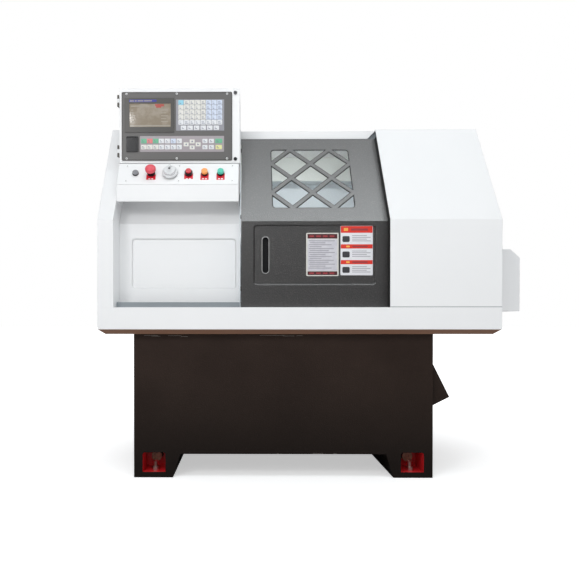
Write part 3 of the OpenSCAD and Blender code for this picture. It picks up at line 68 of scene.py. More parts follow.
def finish(name, colour, roughness, metallic=0.0, edge=0.0012, grain=None, mottle=None, below=None,
           **sockets):
    """A Principled finish. edge is the radius to which the Bevel node rounds edges in the shading. grain is
    (lumps per metre, height, stretch along X, Y, Z): a noise on Object coordinates that bumps that normal.
    mottle is (lumps per metre, other colour, low, high): a broad noise that blends the colour to another.
    below is (low, high, other colour): under the height low the other colour holds, and it fades out at
    high."""
    made = bpy.data.materials.new(name)
    made.use_nodes = True
    tree = made.node_tree
    shader = tree.nodes["Principled BSDF"]
    values = {"Base Color": (*colour, 1.0), "Roughness": roughness, "Metallic": metallic, **sockets}
    for socket, value in values.items():
        shader.inputs[socket].default_value = value
    normal = None
    if edge:
        rounding = tree.nodes.new("ShaderNodeBevel")
        rounding.samples = 4
        rounding.inputs["Radius"].default_value = edge
        normal = rounding.outputs["Normal"]
    if grain or mottle or below:
        place = tree.nodes.new("ShaderNodeTexCoord").outputs["Object"]
    if grain:
        lumps, height, stretch = grain
        scaled = tree.nodes.new("ShaderNodeMapping")
        scaled.inputs["Scale"].default_value = stretch
        tree.links.new(place, scaled.inputs["Vector"])
        noise = tree.nodes.new("ShaderNodeTexNoise")
        noise.inputs["Scale"].default_value = lumps
        noise.inputs["Detail"].default_value = 2.0
        tree.links.new(scaled.outputs["Vector"], noise.inputs["Vector"])
        bump = tree.nodes.new("ShaderNodeBump")
        bump.inputs["Distance"].default_value = height
        tree.links.new(noise.outputs["Fac"], bump.inputs["Height"])
        if normal:
            tree.links.new(normal, bump.inputs["Normal"])
        normal = bump.outputs["Normal"]
    if mottle:
        lumps, other, low, high = mottle
        patches = tree.nodes.new("ShaderNodeTexNoise")
        patches.inputs["Scale"].default_value = lumps
        patches.inputs["Detail"].default_value = 4.0
        tree.links.new(place, patches.inputs["Vector"])
        ramp = tree.nodes.new("ShaderNodeValToRGB")
        ramp.color_ramp.elements[0].position = low
        ramp.color_ramp.elements[0].color = (*colour, 1.0)
        ramp.color_ramp.elements[1].position = high
        ramp.color_ramp.elements[1].color = (*other, 1.0)
        tree.links.new(patches.outputs["Fac"], ramp.inputs["Fac"])
        tree.links.new(ramp.outputs["Color"], shader.inputs["Base Color"])
    if below:
        low, high, other = below
        height = tree.nodes.new("ShaderNodeSeparateXYZ")
        tree.links.new(place, height.inputs["Vector"])
        share = tree.nodes.new("ShaderNodeMapRange")
        share.inputs["From Min"].default_value = low
        share.inputs["From Max"].default_value = high
        tree.links.new(height.outputs["Z"], share.inputs["Value"])
        lower, upper = colour_mix(tree, share.outputs["Result"], shader.inputs["Base Color"])
        lower.default_value = (*other, 1.0)
        upper.default_value = (*colour, 1.0)
        if mottle:
            tree.links.new(ramp.outputs["Color"], upper)
    if normal:
        tree.links.new(normal, shader.inputs["Normal"])
    return made


def dress(made, *names):
    """Gives CAD nodes their finish."""
    for name in names:
        mesh = nodes[name].data
        mesh.materials.clear()
        mesh.materials.append(made)


EVEN = (1.0, 1.0, 1.0)
WHITE = (0.866, 0.868, 0.872)
WHITE_PATCHES = (2.2, (0.838, 0.842, 0.850), 0.42, 0.75)
WHITE_PEEL = (420, 0.00006, EVEN)
white_coat = finish("white_powder_coat", WHITE, 0.4, edge=0.0022, grain=WHITE_PEEL, mottle=WHITE_PATCHES)
dress(white_coat, "upper_guard", "headstock_cover", "console_housing", "control_box", "motor_cover",
      "panel_door", "cabinet_shell", "cabinet_door", "button_plate")


# The tray's undercut and underside are painted brown: painted shade, tinted as a painted reflection of a
# brown floor. A grey band along the housing's foot, where it stands on the tray, is a painted shadow line at
# the joint. Inside, the duct under the roof is pale grey-green and the rear sheet pale blue; outside, the
# sheet is white.
tray_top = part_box("chip_tray")[1][2]
# Below the undercut the coat turns brown: painted shade with a painted reflection of a brown floor.
tray_coat_with_painted_shade = finish("tray_coat_with_painted_shade", WHITE, 0.4, edge=0.0022, grain=WHITE_PEEL, mottle=WHITE_PATCHES,
                   below=(tray_top - 0.0815, tray_top - 0.0795, (0.20, 0.105, 0.066)))
# The grey band at the housing's foot is a painted shadow line where it stands on the tray.
housing_coat_with_painted_shadow = finish("housing_coat_with_painted_shadow", WHITE, 0.4, edge=0.0022, grain=WHITE_PEEL, mottle=WHITE_PATCHES,
                      below=(tray_top + 0.0025, tray_top + 0.003, (0.34, 0.36, 0.37)))
DUCT_LOW = 1.2452
guard_coat = finish("guard_coat", (0.66, 0.69, 0.66), 0.4, edge=0.0022, grain=WHITE_PEEL,
                    below=(DUCT_LOW, DUCT_LOW + 0.001, (0.80, 0.86, 0.90)))
back_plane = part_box("splash_guard")[1][1]
tree = guard_coat.node_tree
place = tree.nodes.new("ShaderNodeSeparateXYZ")
tree.links.new(tree.nodes.new("ShaderNodeTexCoord").outputs["Object"], place.inputs["Vector"])
outside = tree.nodes.new("ShaderNodeMath")
outside.operation = "GREATER_THAN"
outside.inputs[1].default_value = back_plane - 0.0006
tree.links.new(place.outputs["Y"], outside.inputs[0])
colour_socket = tree.nodes["Principled BSDF"].inputs["Base Color"]
inside_colour = colour_socket.links[0].from_socket
inner, outer = colour_mix(tree, outside.outputs["Value"], colour_socket)
outer.default_value = (*WHITE, 1.0)
tree.links.new(inside_colour, inner)
dress(tray_coat_with_painted_shade, "chip_tray")
dress(housing_coat_with_painted_shadow, "right_housing")
dress(guard_coat, "splash_guard")


# Pedestal: welded 4 mm plate under a nearly black wrinkle paint with a warm cast. The levelling pockets are
# painted red, and the drain spout is welded on and painted with the rest.
pedestal_coat = finish("dark_wrinkle_paint_with_painted_shade", (0.031, 0.0188, 0.0145), 0.46, edge=0.002,
                       grain=(240, 0.0006, EVEN), mottle=(3.0, (0.041, 0.0255, 0.0195), 0.4, 0.7),
                       # Towards the floor the colour darkens: painted shade.
                       below=(0.05, 0.5, (0.0125, 0.0085, 0.0068)),
                       **{"Specular IOR Level": 0.16})
dress(pedestal_coat, "base_cabinet", "drain_spout")
pocket_coat = finish("pocket_red_paint", (0.70, 0.022, 0.03), 0.38, edge=0.0015, grain=(300, 0.0002, EVEN),
                     mottle=(14.0, (0.42, 0.014, 0.018), 0.5, 0.8))
dress(pocket_coat, "levelling_pockets")
zinc = finish("zinc_plate", (0.62, 0.60, 0.55), 0.34, 1.0, edge=0.0008,
              mottle=(30.0, (0.42, 0.36, 0.3), 0.45, 0.7))
dress(zinc, "levelling_bolts")


# Lifting tubes: a steel tube runs through each foot behind the pocket, and its end shows as a rusty brown cap
# in the pocket's back wall.
def outline_rounded(width, height, radius, steps=6):
    """A rounded rectangle round the origin, anticlockwise: four quarter circles, each set out from its
    corner's centre, joined by straight runs."""
    corner = np.repeat([[1, 1], [-1, 1], [-1, -1], [1, -1]], steps, axis=0)
    centre = corner * [width / 2 - radius, height / 2 - radius]
    turn = np.repeat(np.arange(4), steps) * np.pi / 2 + np.tile(np.linspace(0, np.pi / 2, steps), 4)
    return centre + radius * np.c_[np.cos(turn), np.sin(turn)]


def outline_round(radius, steps=32):
    """A circle round the origin, anticlockwise."""
    turn = np.arange(steps) * 2 * np.pi / steps
    return radius * np.c_[np.cos(turn), np.sin(turn)]


def raised(profile, outline, *sizes, loop=False):
    """A closed solid: the outline, shrunk by each inset of the profile, stands at that step's height, and the
    rings are joined by quads and closed by a face at each end. sizes are the outline's, before the inset.
    With loop, the last ring joins the first instead, which makes a frame whose section is the profile."""
    width, *rest = sizes
    if outline is outline_round:
        rings = [outline(width - inset) for inset, _ in profile]
    else:
        rings = [outline(width - 2 * inset, rest[0] - 2 * inset, max(rest[1] - inset, 1e-5))
                 for inset, _ in profile]
    count = len(rings[0])
    points = np.vstack([np.c_[ring, np.full(count, height)] for ring, (_, height) in zip(rings, profile)])
    index = np.arange(count)
    after = (index + 1) % count
    quads = np.vstack([np.c_[index, after, after + count, index + count] + step * count
                       for step in range(len(profile) - 1)])
    last = (len(profile) - 1) * count
    if loop:
        return points, quads.tolist() + np.c_[index + last, after + last, after, index].tolist()
    return points, quads.tolist() + [index[::-1].tolist(), (index + last).tolist()]


def soft_edge(height, radius):
    """The profile of a solid of that height whose upper edge is a quarter circle of that radius."""
    turn = np.linspace(0, np.pi / 2, 5)
    return [(0.0, 0.0), *zip(radius * (1 - np.cos(turn)), height - radius + radius * np.sin(turn))]


def placed(solid, origin, across=RIGHT, up=UP):
    """Carries a solid to its place: its X runs along across, its Y along up and its Z along their normal."""
    points, faces = solid
    axes = np.array([across, up, np.cross(across, up)])
    return np.asarray(origin) + points @ axes, faces


def piece(name, solids, made, body, smooth=True):
    """One object made of several solids, at the origin, riding on a CAD body."""
    offsets = np.cumsum([0] + [len(points) for points, _ in solids])
    points = np.vstack([points for points, _ in solids])
    faces = [[corner + start for corner in face] for (_, solid_faces), start in zip(solids, offsets.tolist())
             for face in solid_faces]
    mesh = bpy.data.meshes.new(name)
    mesh.from_pydata(points, [], faces)
    mesh.materials.append(made)
    mesh.polygons.foreach_set("use_smooth", np.full(len(faces), smooth))
    if smooth:
        mesh.set_sharp_from_angle(angle=math.radians(35))
    thing = bpy.data.objects.new(name, mesh)
    bpy.context.scene.collection.objects.link(thing)
    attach(thing, body)
    return thing


cap_brown = finish("tube_cap_rust", (0.26, 0.16, 0.10), 0.6, edge=0.0008, grain=(500, 0.0002, EVEN),
                   mottle=(90.0, (0.14, 0.08, 0.05), 0.45, 0.65))
TUBE_BACK, TUBE_HIGH, TUBE_R = 0.078, 0.064, 0.0198
pocket_low, pocket_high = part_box("levelling_pockets")
base_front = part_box("base_cabinet")[0][1]
piece("tube_caps",
      [placed(raised(soft_edge(1.6 * MM, 0.8 * MM), outline_round, TUBE_R),
              (x, base_front + TUBE_BACK, TUBE_HIGH))
       for x in (pocket_low[0] + 0.046, pocket_high[0] - 0.046)], cap_brown, "root")
NOTCH_HIGH = 91
worn_steel = finish("worn_edge", (0.24, 0.215, 0.19), 0.5, edge=0.0)
WORN_MARKS = ((38, 532, 52), (66, 529, 34), (128, 531, 50), (176, 528, 26), (470, 532, 92), (556, 530, 44),
              (608, 531, 22), (535, NOTCH_HIGH, 7), (668, NOTCH_HIGH, 40), (745, NOTCH_HIGH, 14))
BASE_TO_POCKET = 29
piece("worn_marks",
      [placed(raised([(0.0, 0.0), (0.0, 0.05 * MM)], outline_rounded, length * MM, 1.0 * MM, 0.5 * MM),
              (pocket_low[0] + (left + length / 2 - BASE_TO_POCKET) * MM, base_front, high * MM))
       for left, high, length in WORN_MARKS], worn_steel, "root")


# Controller: a black moulded front plate in the hinged door, with a bezel round its screen, a membrane keypad
# at the right, and a strip of operating keys below. Six screws with bright heads hold it.
panel_black = finish("panel_black_moulding", (0.128, 0.124, 0.121), 0.42, edge=0.001,
                     grain=(900, 0.00005, EVEN))
bezel_black = finish("bezel_black_moulding", (0.078, 0.075, 0.070), 0.34, edge=0.001)
dress(panel_black, "cnc_panel")
dress(bezel_black, "cnc_screen")
panel_low = np.array(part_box("cnc_panel")[0])
PANEL_W, PANEL_H = 420 * MM, 260 * MM


def on_panel(left, low, width, height, proud=0.0):
    """The place of a rectangle's centre, given from the panel's lower left corner in millimetres."""
    middle = panel_low + (RIGHT * (left + width / 2) + UP * (low + height / 2)) * MM
    return middle + np.array([0, -proud * MM, 0])


def panel_field(left, low, width, height, radius, thick, proud=0.0):
    """A thin rounded rectangle on the panel's face, in millimetres."""
    slab = raised(soft_edge(thick * MM, min(thick * 0.4, 0.3) * MM), outline_rounded,
                  width * MM, height * MM, radius * MM)
    return placed(slab, on_panel(left, low, width, height, proud))


KEY_COLOURS = {
    "cream": (0.71, 0.70, 0.66), "white": (0.72, 0.73, 0.75), "blue": (0.60, 0.66, 0.78),
    "aqua": (0.30, 0.62, 0.76), "green": (0.16, 0.46, 0.28), "red": (0.72, 0.22, 0.22),
    "yellow": (0.72, 0.71, 0.34), "legend": (0.17, 0.185, 0.26),
}
key_coats = {tone: finish(f"key_{tone}", colour, 0.42, edge=0.0) for tone, colour in KEY_COLOURS.items()}
KEYPAD = (207, 113, 182.5, 118)
STRIP = (69, 33, 320, 60)
keypad_grey = finish("keypad_film", (0.30, 0.30, 0.33), 0.45, edge=0.0)
strip_grey = finish("strip_film", (0.36, 0.325, 0.345), 0.45, edge=0.0)
piece("keypad_film", [panel_field(*KEYPAD, 2, 0.5)], keypad_grey, "panel_front")
piece("strip_film", [panel_field(*STRIP, 2, 0.5)], strip_grey, "panel_front")


# Keys: low caps that stand proud of the printed film. Two short plain bars take the place of each legend, and
# the four keys in a cross carry an arrow.
def key_grid():
    """(tone, left, low, width, height, legend length) of each key, row by row."""
    for row in range(5):
        for col in range(8):
            tone = "blue" if col > 4 and row > 0 else "cream" if row > 0 else "white"
            tone = "aqua" if (row, col) == (4, 0) else tone
            yield tone, 215.9 + 20.95 * col, 135.8 + 18.8 * row, 19.4, 17.4, 7 + 3 * ((row * 3 + col * 5) % 3)
    for col in range(6):
        yield "white", 225 + 24.9 * col, 115.5, 20.5, 16.5, 8
    for col in range(7):
        upper = ("green", "red", "green", "white", "white", "blue", "white")[col]
        yield upper, 74 + 22.5 * col, 65.2, 21 if col < 3 else 19.5, 17.5, 8
        yield "cream" if col < 3 else "white", 74 + 22.5 * col, 42.2, 21 if col < 3 else 19.5, 17.5, 9
    for left, low in ((235.5, 53.5), (281, 53.5), (258.5, 64.5), (258.5, 42)):
        yield "cream", left, low, 19, 15, 0
    for col in range(2):
        for row in range(2):
            yield "white", 307 + 24.5 * col, 42.5 + 23 * row, 19, 16, 9
    yield "green", 356, 65.5, 26, 17, 9
    yield "yellow", 357, 42.5, 24, 16, 9


KEY_HEIGHT = 1.0
key_solids = {tone: [] for tone in KEY_COLOURS}
for tone, left, low, width, height, legend in key_grid():
    key_solids[tone].append(panel_field(left, low, width, height, 1.5, KEY_HEIGHT, 0.5))
    if legend:
        for step in range(2):
            bar = panel_field(left + 4, low + 4 + 5.2 * step, legend - 4 * step, 2.2, 0.5,
                              0.15, 0.5 + KEY_HEIGHT - 0.05)
            key_solids["legend"].append(bar)
ARROWS = ((245, 61, 180), (290.5, 61, 0), (268, 72, 90), (268, 49.5, 270))
for left, low, turn in ARROWS:
    corners = np.array([[math.cos(a), math.sin(a), 0] for a in np.radians([turn, turn + 130, turn + 230])])
    triangle = np.vstack([corners * 4.5 * MM, corners * 4.5 * MM + [0, 0, 0.15 * MM]])
    sides = [[0, 1, 4, 3], [1, 2, 5, 4], [2, 0, 3, 5], [2, 1, 0], [3, 4, 5]]
    key_solids["legend"].append(placed((triangle, sides), on_panel(left, low, 0, 0, 0.45 + KEY_HEIGHT)))
key_pieces = [piece(f"keys_{tone}", solids, key_coats[tone], "panel_front")
              for tone, solids in key_solids.items()]
for thing in key_pieces:
    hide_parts("panel_keys")


# Screen: a flat display in the bezel, switched on. Its picture is a warm grey ground with plain fields, and a
# blue band of plain fields lies above it.
SCREEN = (30, 127, 157, 89)
screen_coat = finish("screen_ground", (0.27, 0.225, 0.17), 0.16, edge=0.0,
                     mottle=(26.0, (0.34, 0.295, 0.24), 0.52, 0.66))
screen_red = finish("screen_red_field", (0.42, 0.10, 0.085), 0.2, edge=0.0)
screen_pale = finish("screen_pale_field", (0.37, 0.335, 0.285), 0.2, edge=0.0)
header_blue = finish("header_blue_field", (0.055, 0.06, 0.30), 0.35, edge=0.0)
SCREEN_PROUD = 0.8
PICTURE_T = 0.2


def screen_field(left, low, width, height, radius):
    """A thin field on the picture, in the panel's millimetres."""
    return panel_field(left, low, width, height, radius, 0.12, SCREEN_PROUD + PICTURE_T)


piece("screen_picture", [panel_field(*SCREEN, 1, PICTURE_T, SCREEN_PROUD)], screen_coat, "panel_front")
piece("screen_red_fields", [screen_field(127, 205, 34, 9, 1), screen_field(131, 200, 20, 5, 1)],
      screen_red, "panel_front")
piece("screen_pale_fields",
      [screen_field(36, 205, 70, 3, 0.5), screen_field(32, 129, 153, 5, 0.5)]
      + [screen_field(36, 190 - 11 * row, 8 + 5 * (row % 3), 3, 0.5) for row in range(5)]
      + [screen_field(150, 190 - 11 * row, 26 - 6 * (row % 2), 3, 0.5) for row in range(5)],
      screen_pale, "panel_front")
piece("header_band", [panel_field(29, 221.5, 104, 9, 1.5, 0.25, 2.0)], header_blue, "panel_front")
piece("header_fields", [panel_field(left, 224, width, 3.5, 0.5, 0.1, 2.25) for left, width in
                        ((33, 14), (50, 8), (61, 22), (86, 30))], screen_pale, "panel_front")
rim = raised([(0.0, 0.0), (0.0, 0.5 * MM), (1.4 * MM, 0.5 * MM), (1.4 * MM, 0.0)], outline_rounded,
             (PANEL_W - 5 * MM), (PANEL_H - 5 * MM), 3 * MM, loop=True)
piece("panel_rim", [placed(rim, panel_low + (RIGHT * PANEL_W + UP * PANEL_H) / 2)], bezel_black,
      "panel_front")


# Screws: pan heads with a cross recess, zinc plated, in two rows on the controller and on the button plate.
def screw(origin, across, up, radius=4.2, height=2.2):
    """A pan head: a circle raised through an arc, and a cross of two dark bars let into its crown."""
    turn = np.linspace(0, np.pi / 2, 6)[:-1]
    profile = [(0.0, 0.0), (0.0, height * 0.35 * MM)]
    profile += list(zip(radius * MM * 0.75 * (1 - np.cos(turn[1:])),
                        (0.35 + 0.65 * np.sin(turn[1:])) * height * MM))
    head = placed(raised(profile, outline_round, radius * MM), origin, across, up)
    normal = np.cross(across, up)
    bars = [placed(raised([(0.0, 0.0), (0.0, 0.12 * MM)], outline_rounded, size[0], size[1], 0.2 * MM),
                   origin + normal * (height - 0.08) * MM, across, up)
            for size in ((radius * 1.1 * MM, radius * 0.28 * MM), (radius * 0.28 * MM, radius * 1.1 * MM))]
    return head, bars


screw_zinc = finish("screw_zinc", (0.88, 0.88, 0.88), 0.35, 0.5, edge=0.0)
recess_black = finish("recess_black", (0.02, 0.02, 0.022), 0.6, edge=0.0)
panel_screws = [screw(on_panel(left, low, 0, 0), RIGHT, UP)
                for left in (18.7, 209.5, 400.5) for low in (7.5, 252.5)]
piece("panel_screws", [head for head, _ in panel_screws], screw_zinc, "panel_front")
piece("panel_screw_recesses", [bar for _, bars in panel_screws for bar in bars], recess_black, "panel_front")


# Button plate: folded sheet, screwed on at six places. Under the switches sit plain red labels.
plate_normal = np.array(joints["handwheel_turn"]["axis"])
plate_up = np.cross(plate_normal, RIGHT)
switch_line = np.array(joints["handwheel_turn"]["pos_m"])
PLATE_T = 2.0
SWITCH_UP = 54.0


def on_plate(x, up, proud=0.0):
    """A place on the button plate: x in metres, up from its lower edge in millimetres."""
    base = np.array([x, switch_line[1], switch_line[2]])
    return base + plate_up * (up - SWITCH_UP) * MM + plate_normal * (PLATE_T + proud) * MM


def middle_x(name):
    low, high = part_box(name)
    return (low[0] + high[0]) / 2


plate_low, plate_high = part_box("button_plate")
plate_screws = [screw(on_plate(x, up), RIGHT, plate_up, 3.4, 1.8)
                for x in (plate_low[0] + 0.033, middle_x("button_plate") + 0.004, plate_high[0] - 0.022)
                for up in (18, 91)]
piece("plate_screws", [head for head, _ in plate_screws], screw_zinc, "root")
piece("plate_screw_recesses", [bar for _, bars in plate_screws for bar in bars], recess_black, "root")
label_red = finish("label_red", (0.68, 0.012, 0.03), 0.35, edge=0.0)
LABELS = (("estop_head", 37, 35, 26), ("red_button", 41, 33, 28), ("orange_button", 39, 31, 32),
          ("green_button", 39, 31, 32))
piece("switch_labels",
      [placed(raised(soft_edge(0.3 * MM, 0.1 * MM), outline_rounded, width * MM, height * MM, 1.5 * MM),
              on_plate(middle_x(name), up), RIGHT, plate_up) for name, up, width, height in LABELS],
      label_red, "root")
label_pale = finish("label_pale_field", (0.86, 0.80, 0.80), 0.4, edge=0.0)
piece("switch_label_fields",
      [placed(raised([(0.0, 0.0), (0.0, 0.1 * MM)], outline_rounded, 7 * MM, 5 * MM, 1 * MM),
              on_plate(middle_x(name) + side * 5.5 * MM, 28, 0.28), RIGHT, plate_up)
       for name, *_ in LABELS for side in (-1, 1)], label_pale, "root")


# Sheet screws: the rear sheet and the housing's end are screwed to the frame's flanges along their edges.
housing_low, housing_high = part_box("right_housing")
cabinet_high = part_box("cabinet_shell")[1]
roof_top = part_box("upper_guard")[1][2]
Y_AXIS = np.array([0.0, 1.0, 0.0])
rear_screws = [screw(np.array([x, back_plane, z]), -RIGHT, UP, 4.5, 2.0)
               for x in np.linspace(cabinet_high[0] + 0.04, housing_high[0] - 0.03, 6)
               for z in (tray_top + 0.025, roof_top - 0.025)]
end_screws = [screw(np.array([housing_high[0], y, z]), Y_AXIS, UP, 4.5, 2.0)
              for y, z in [(back_plane - 0.022, height)
                           for height in np.linspace(tray_top + 0.06, roof_top - 0.06, 4)]
              + [(depth, tray_top + 0.022)
                 for depth in np.linspace(housing_low[1] + 0.05, back_plane - 0.12, 4)]]
piece("sheet_screws", [head for head, _ in rear_screws + end_screws], screw_zinc, "root")
piece("sheet_screw_recesses", [bar for _, bars in rear_screws + end_screws for bar in bars], recess_black,
      "root")


# Switches: moulded heads on black collars. The wheel is a white dial with a ring of divisions, a dark groove
# and a bead on its hub.
switch_black = finish("switch_black", (0.018, 0.018, 0.02), 0.3, edge=0.0006)
dress(switch_black, "switch_barrels", "lock_bottom")
dress(finish("lock_chrome", (0.22, 0.22, 0.23), 0.3, 0.9, edge=0.0005), "lock_top")
hinge_steel = finish("hinge_steel", (0.155, 0.145, 0.13), 0.4, 0.55, edge=0.0006)
dress(hinge_steel, "panel_hinges")
dress(finish("stop_red", (0.74, 0.085, 0.115), 0.34, edge=0.001), "estop_head")
dress(finish("button_red", (0.62, 0.035, 0.045), 0.24, edge=0.0008), "red_button")
dress(finish("button_orange", (0.93, 0.36, 0.09), 0.28, edge=0.0008), "orange_button")
dress(finish("button_green", (0.07, 0.56, 0.42), 0.28, edge=0.0008), "green_button")
dress(finish("key_steel", (0.27, 0.27, 0.285), 0.42, 0.6, edge=0.0006), "key_plug")
dress(finish("wheel_white", (0.70, 0.71, 0.72), 0.35, edge=0.0008), "feed_handwheel")
dress(finish("cover_black_gloss", (0.012, 0.012, 0.014), 0.22, edge=0.0008), "usb_cover")
DIVISIONS = 50
division_turn = np.arange(DIVISIONS) * 2 * np.pi / DIVISIONS
wheel_place = on_plate(middle_x("feed_handwheel"), SWITCH_UP, 5.3)
division_black = finish("division_black", (0.05, 0.05, 0.055), 0.5, edge=0.0)
divisions = []
for count, turn in enumerate(division_turn):
    outwards = math.cos(turn) * RIGHT + math.sin(turn) * plate_up
    sideways = np.cross(plate_normal, outwards)
    length = 3.2 if count % 5 == 0 else 1.9
    mark = raised([(0.0, 0.0), (0.0, 0.1 * MM)], outline_rounded, length * MM, 0.5 * MM, 0.1 * MM, 1)
    face = wheel_place + plate_normal * 6.98 * MM
    divisions.append(placed(mark, face + outwards * (27.8 - length / 2) * MM, outwards, sideways))
piece("wheel_divisions", divisions, division_black, "handwheel")
groove = raised([(0.0, 0.0), (0.0, 0.25 * MM), (2 * MM, 0.25 * MM), (2 * MM, 0.0)], outline_round,
                22.4 * MM, loop=True)
piece("wheel_groove", [placed(groove, wheel_place + plate_normal * 8.85 * MM, RIGHT, plate_up)],
      division_black, "handwheel")
piece("wheel_bead", [placed(raised(soft_edge(0.6 * MM, 0.3 * MM), outline_round, 4.2 * MM),
                            wheel_place - plate_up * 2 * MM + plate_normal * 25.9 * MM, RIGHT, plate_up)],
      division_black, "handwheel")


# Door: a folded sheet in a dark wrinkle paint. A latticed window is cut in its slope, a pane sits behind it,
# and a moulded pull is let into its pressed field.
# The lighter flecks of the mottle are painted glints on the wrinkle paint's crests.
door_coat = finish("door_wrinkle_paint_with_painted_glints", (0.0085, 0.0062, 0.0052), 0.32, edge=0.0015,
                   grain=(260, 0.0012, EVEN), mottle=(230.0, (0.058, 0.048, 0.043), 0.57, 0.65),
                   **{"IOR": 2.0, "Specular IOR Level": 0.9})
dress(door_coat, "door_shell")
dress(finish("pull_black_gloss", (0.010, 0.010, 0.012), 0.16, edge=0.0008), "flush_pull")
dress(finish("clear_pane", (0.93, 0.96, 0.97), 0.03, edge=0.0, **{"Transmission Weight": 1.0, "IOR": 1.25}),
      "window_pane")
rubber = finish("black_rubber", (0.016, 0.016, 0.017), 0.6, edge=0.0008)
dress(rubber, "door_bumpers", "wiper_seal", "drive_belt")
dress(finish("nylon", (0.72, 0.69, 0.58), 0.45, edge=0.0008), "guide_shoes")
dress(finish("drawn_bar", (0.35, 0.385, 0.41), 0.38, 0.4, edge=0.0008, grain=(900, 0.0001, (0.02, 1, 1))),
      "door_rails")


# Glazing: black strips on the pane draw a thin dark line round each opening of the lattice and round the
# window, as painted shade under the bars' cut edges and in the gap behind them. The lip of the pull is rolled
# over, and its crest is painted a lighter grey than the pull, as a painted highlight.
PANE_LAP, PANE_T, LATTICE_W, SHADE_STRIP_W = 14 * MM, 4 * MM, 15 * MM, 3 * MM
pane_low, pane_high = (np.array(corner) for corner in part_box("window_pane"))
WINDOW_W = pane_high[0] - pane_low[0] - 2 * PANE_LAP
pane_deep, pane_tall = (pane_high - pane_low)[1:]


def lattice_shade_strips():
    """A black strip under each diamond bar and a frame round the window, on the pane's front face, as painted
    shade under the bars' cut edges. The face leans back by the angle whose sine and cosine follow from the
    pane's own box, length and thickness."""
    length = math.sqrt(pane_deep ** 2 + pane_tall ** 2 - PANE_T ** 2)
    sine = (length * pane_deep - PANE_T * pane_tall) / (length ** 2 - PANE_T ** 2)
    cosine = (length * pane_tall - PANE_T * pane_deep) / (length ** 2 - PANE_T ** 2)
    up = np.array([0.0, sine, cosine])
    corner = np.array([pane_low[0], pane_low[1], pane_low[2] + sine * PANE_T]) + (RIGHT + up) * PANE_LAP
    size = np.array([WINDOW_W, length - 2 * PANE_LAP])
    profile = [(0.0, 0.0), (0.0, 0.8 * MM)]
    for start, end in (((0.25, 0), (0, 0.25)), ((0.75, 0), (0, 0.75)), ((1, 0.25), (0.25, 1)),
                       ((1, 0.75), (0.75, 1)), ((0, 0.25), (0.75, 1)), ((0.25, 0), (1, 0.75)),
                       ((0.75, 0), (1, 0.25)), ((0, 0.75), (0.25, 1))):
        a, b = start * size, end * size
        run = (b - a) / np.linalg.norm(b - a)
        along = run[0] * RIGHT + run[1] * up
        middle = corner + (a + b)[0] / 2 * RIGHT + (a + b)[1] / 2 * up
        strip = raised(profile, outline_rounded, np.linalg.norm(b - a), LATTICE_W + 2 * SHADE_STRIP_W, 0.1 * MM)
        yield placed(strip, middle, along, run[0] * up - run[1] * RIGHT)
    ring = [(0.0, 0.0), (0.0, 0.8 * MM), (SHADE_STRIP_W + 2 * MM, 0.8 * MM), (SHADE_STRIP_W + 2 * MM, 0.0)]
    yield placed(raised(ring, outline_rounded, size[0] + 4 * MM, size[1] + 4 * MM, 16 * MM, loop=True),
                 corner + size[0] / 2 * RIGHT + size[1] / 2 * up, RIGHT, up)


# Black strips on the pane: painted shade round the lattice's openings.
piece("glazing_shade_strips", list(lattice_shade_strips()), rubber, "sliding_door", smooth=False)
pull_low, pull_high = (np.array(corner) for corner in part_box("flush_pull"))
pull_size = (pull_high - pull_low)[[0, 2]]
bead_turn = np.linspace(0, np.pi, 9)
bead_profile = list(zip(1.6 * MM * (1 - np.cos(bead_turn)), 1.3 * MM * np.sin(bead_turn)))
pull_middle = np.array([(pull_low[0] + pull_high[0]) / 2, pull_low[1], (pull_low[2] + pull_high[2]) / 2])
pull_lip = raised(bead_profile, outline_rounded, *pull_size, pull_size[0] / 2 - 0.5 * MM, loop=True)
# The lip's light grey on the black pull is a painted highlight.
piece("pull_rolled_lip", [placed(pull_lip, pull_middle)],
      finish("pull_lip_painted_highlight", (0.34, 0.335, 0.33), 0.25, edge=0.0, **{"IOR": 2.0}),
      "sliding_door")


# Door plates: two thin printed plates stuck on the pressed field. Their signs are left plain: one has a pale
# ground between dark bands in a bright frame, the other is white with three red bands.
door_low = np.array(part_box("door_shell")[0])
FIELD_SET_BACK = 5.0


def door_field(left, low, width, height, radius, thick, proud=0.0):
    """A thin rounded rectangle in the door's pressed field, in millimetres from the door's lower left
    corner."""
    place = door_low + (RIGHT * (left + width / 2) + UP * (low + height / 2)) * MM
    place = place + np.array([0, (FIELD_SET_BACK - proud) * MM, 0])
    return placed(raised(soft_edge(thick * MM, thick * 0.4 * MM), outline_rounded,
                         width * MM, height * MM, radius * MM), place)


def pressed_edge(depth, run):
    """The section of a pressed field's drawn wall: it falls by a half wave of the cosine over the run."""
    fall = np.linspace(0, 1, 7)
    return [(0.0, 0.0), *zip(run * MM * fall, depth * MM * (1 + np.cos(np.pi * fall)) / 2)]


def field_wall(corner, field):
    """The drawn wall of a pressed field, given as left, low, width, height and radius in millimetres."""
    left, low, width, height, radius = field
    wall = raised(pressed_edge(FIELD_SET_BACK, 5.5), outline_rounded, width * MM, height * MM, radius * MM,
                  loop=True)
    return placed(wall, corner + np.array([left + width / 2, FIELD_SET_BACK, low + height / 2]) * MM)


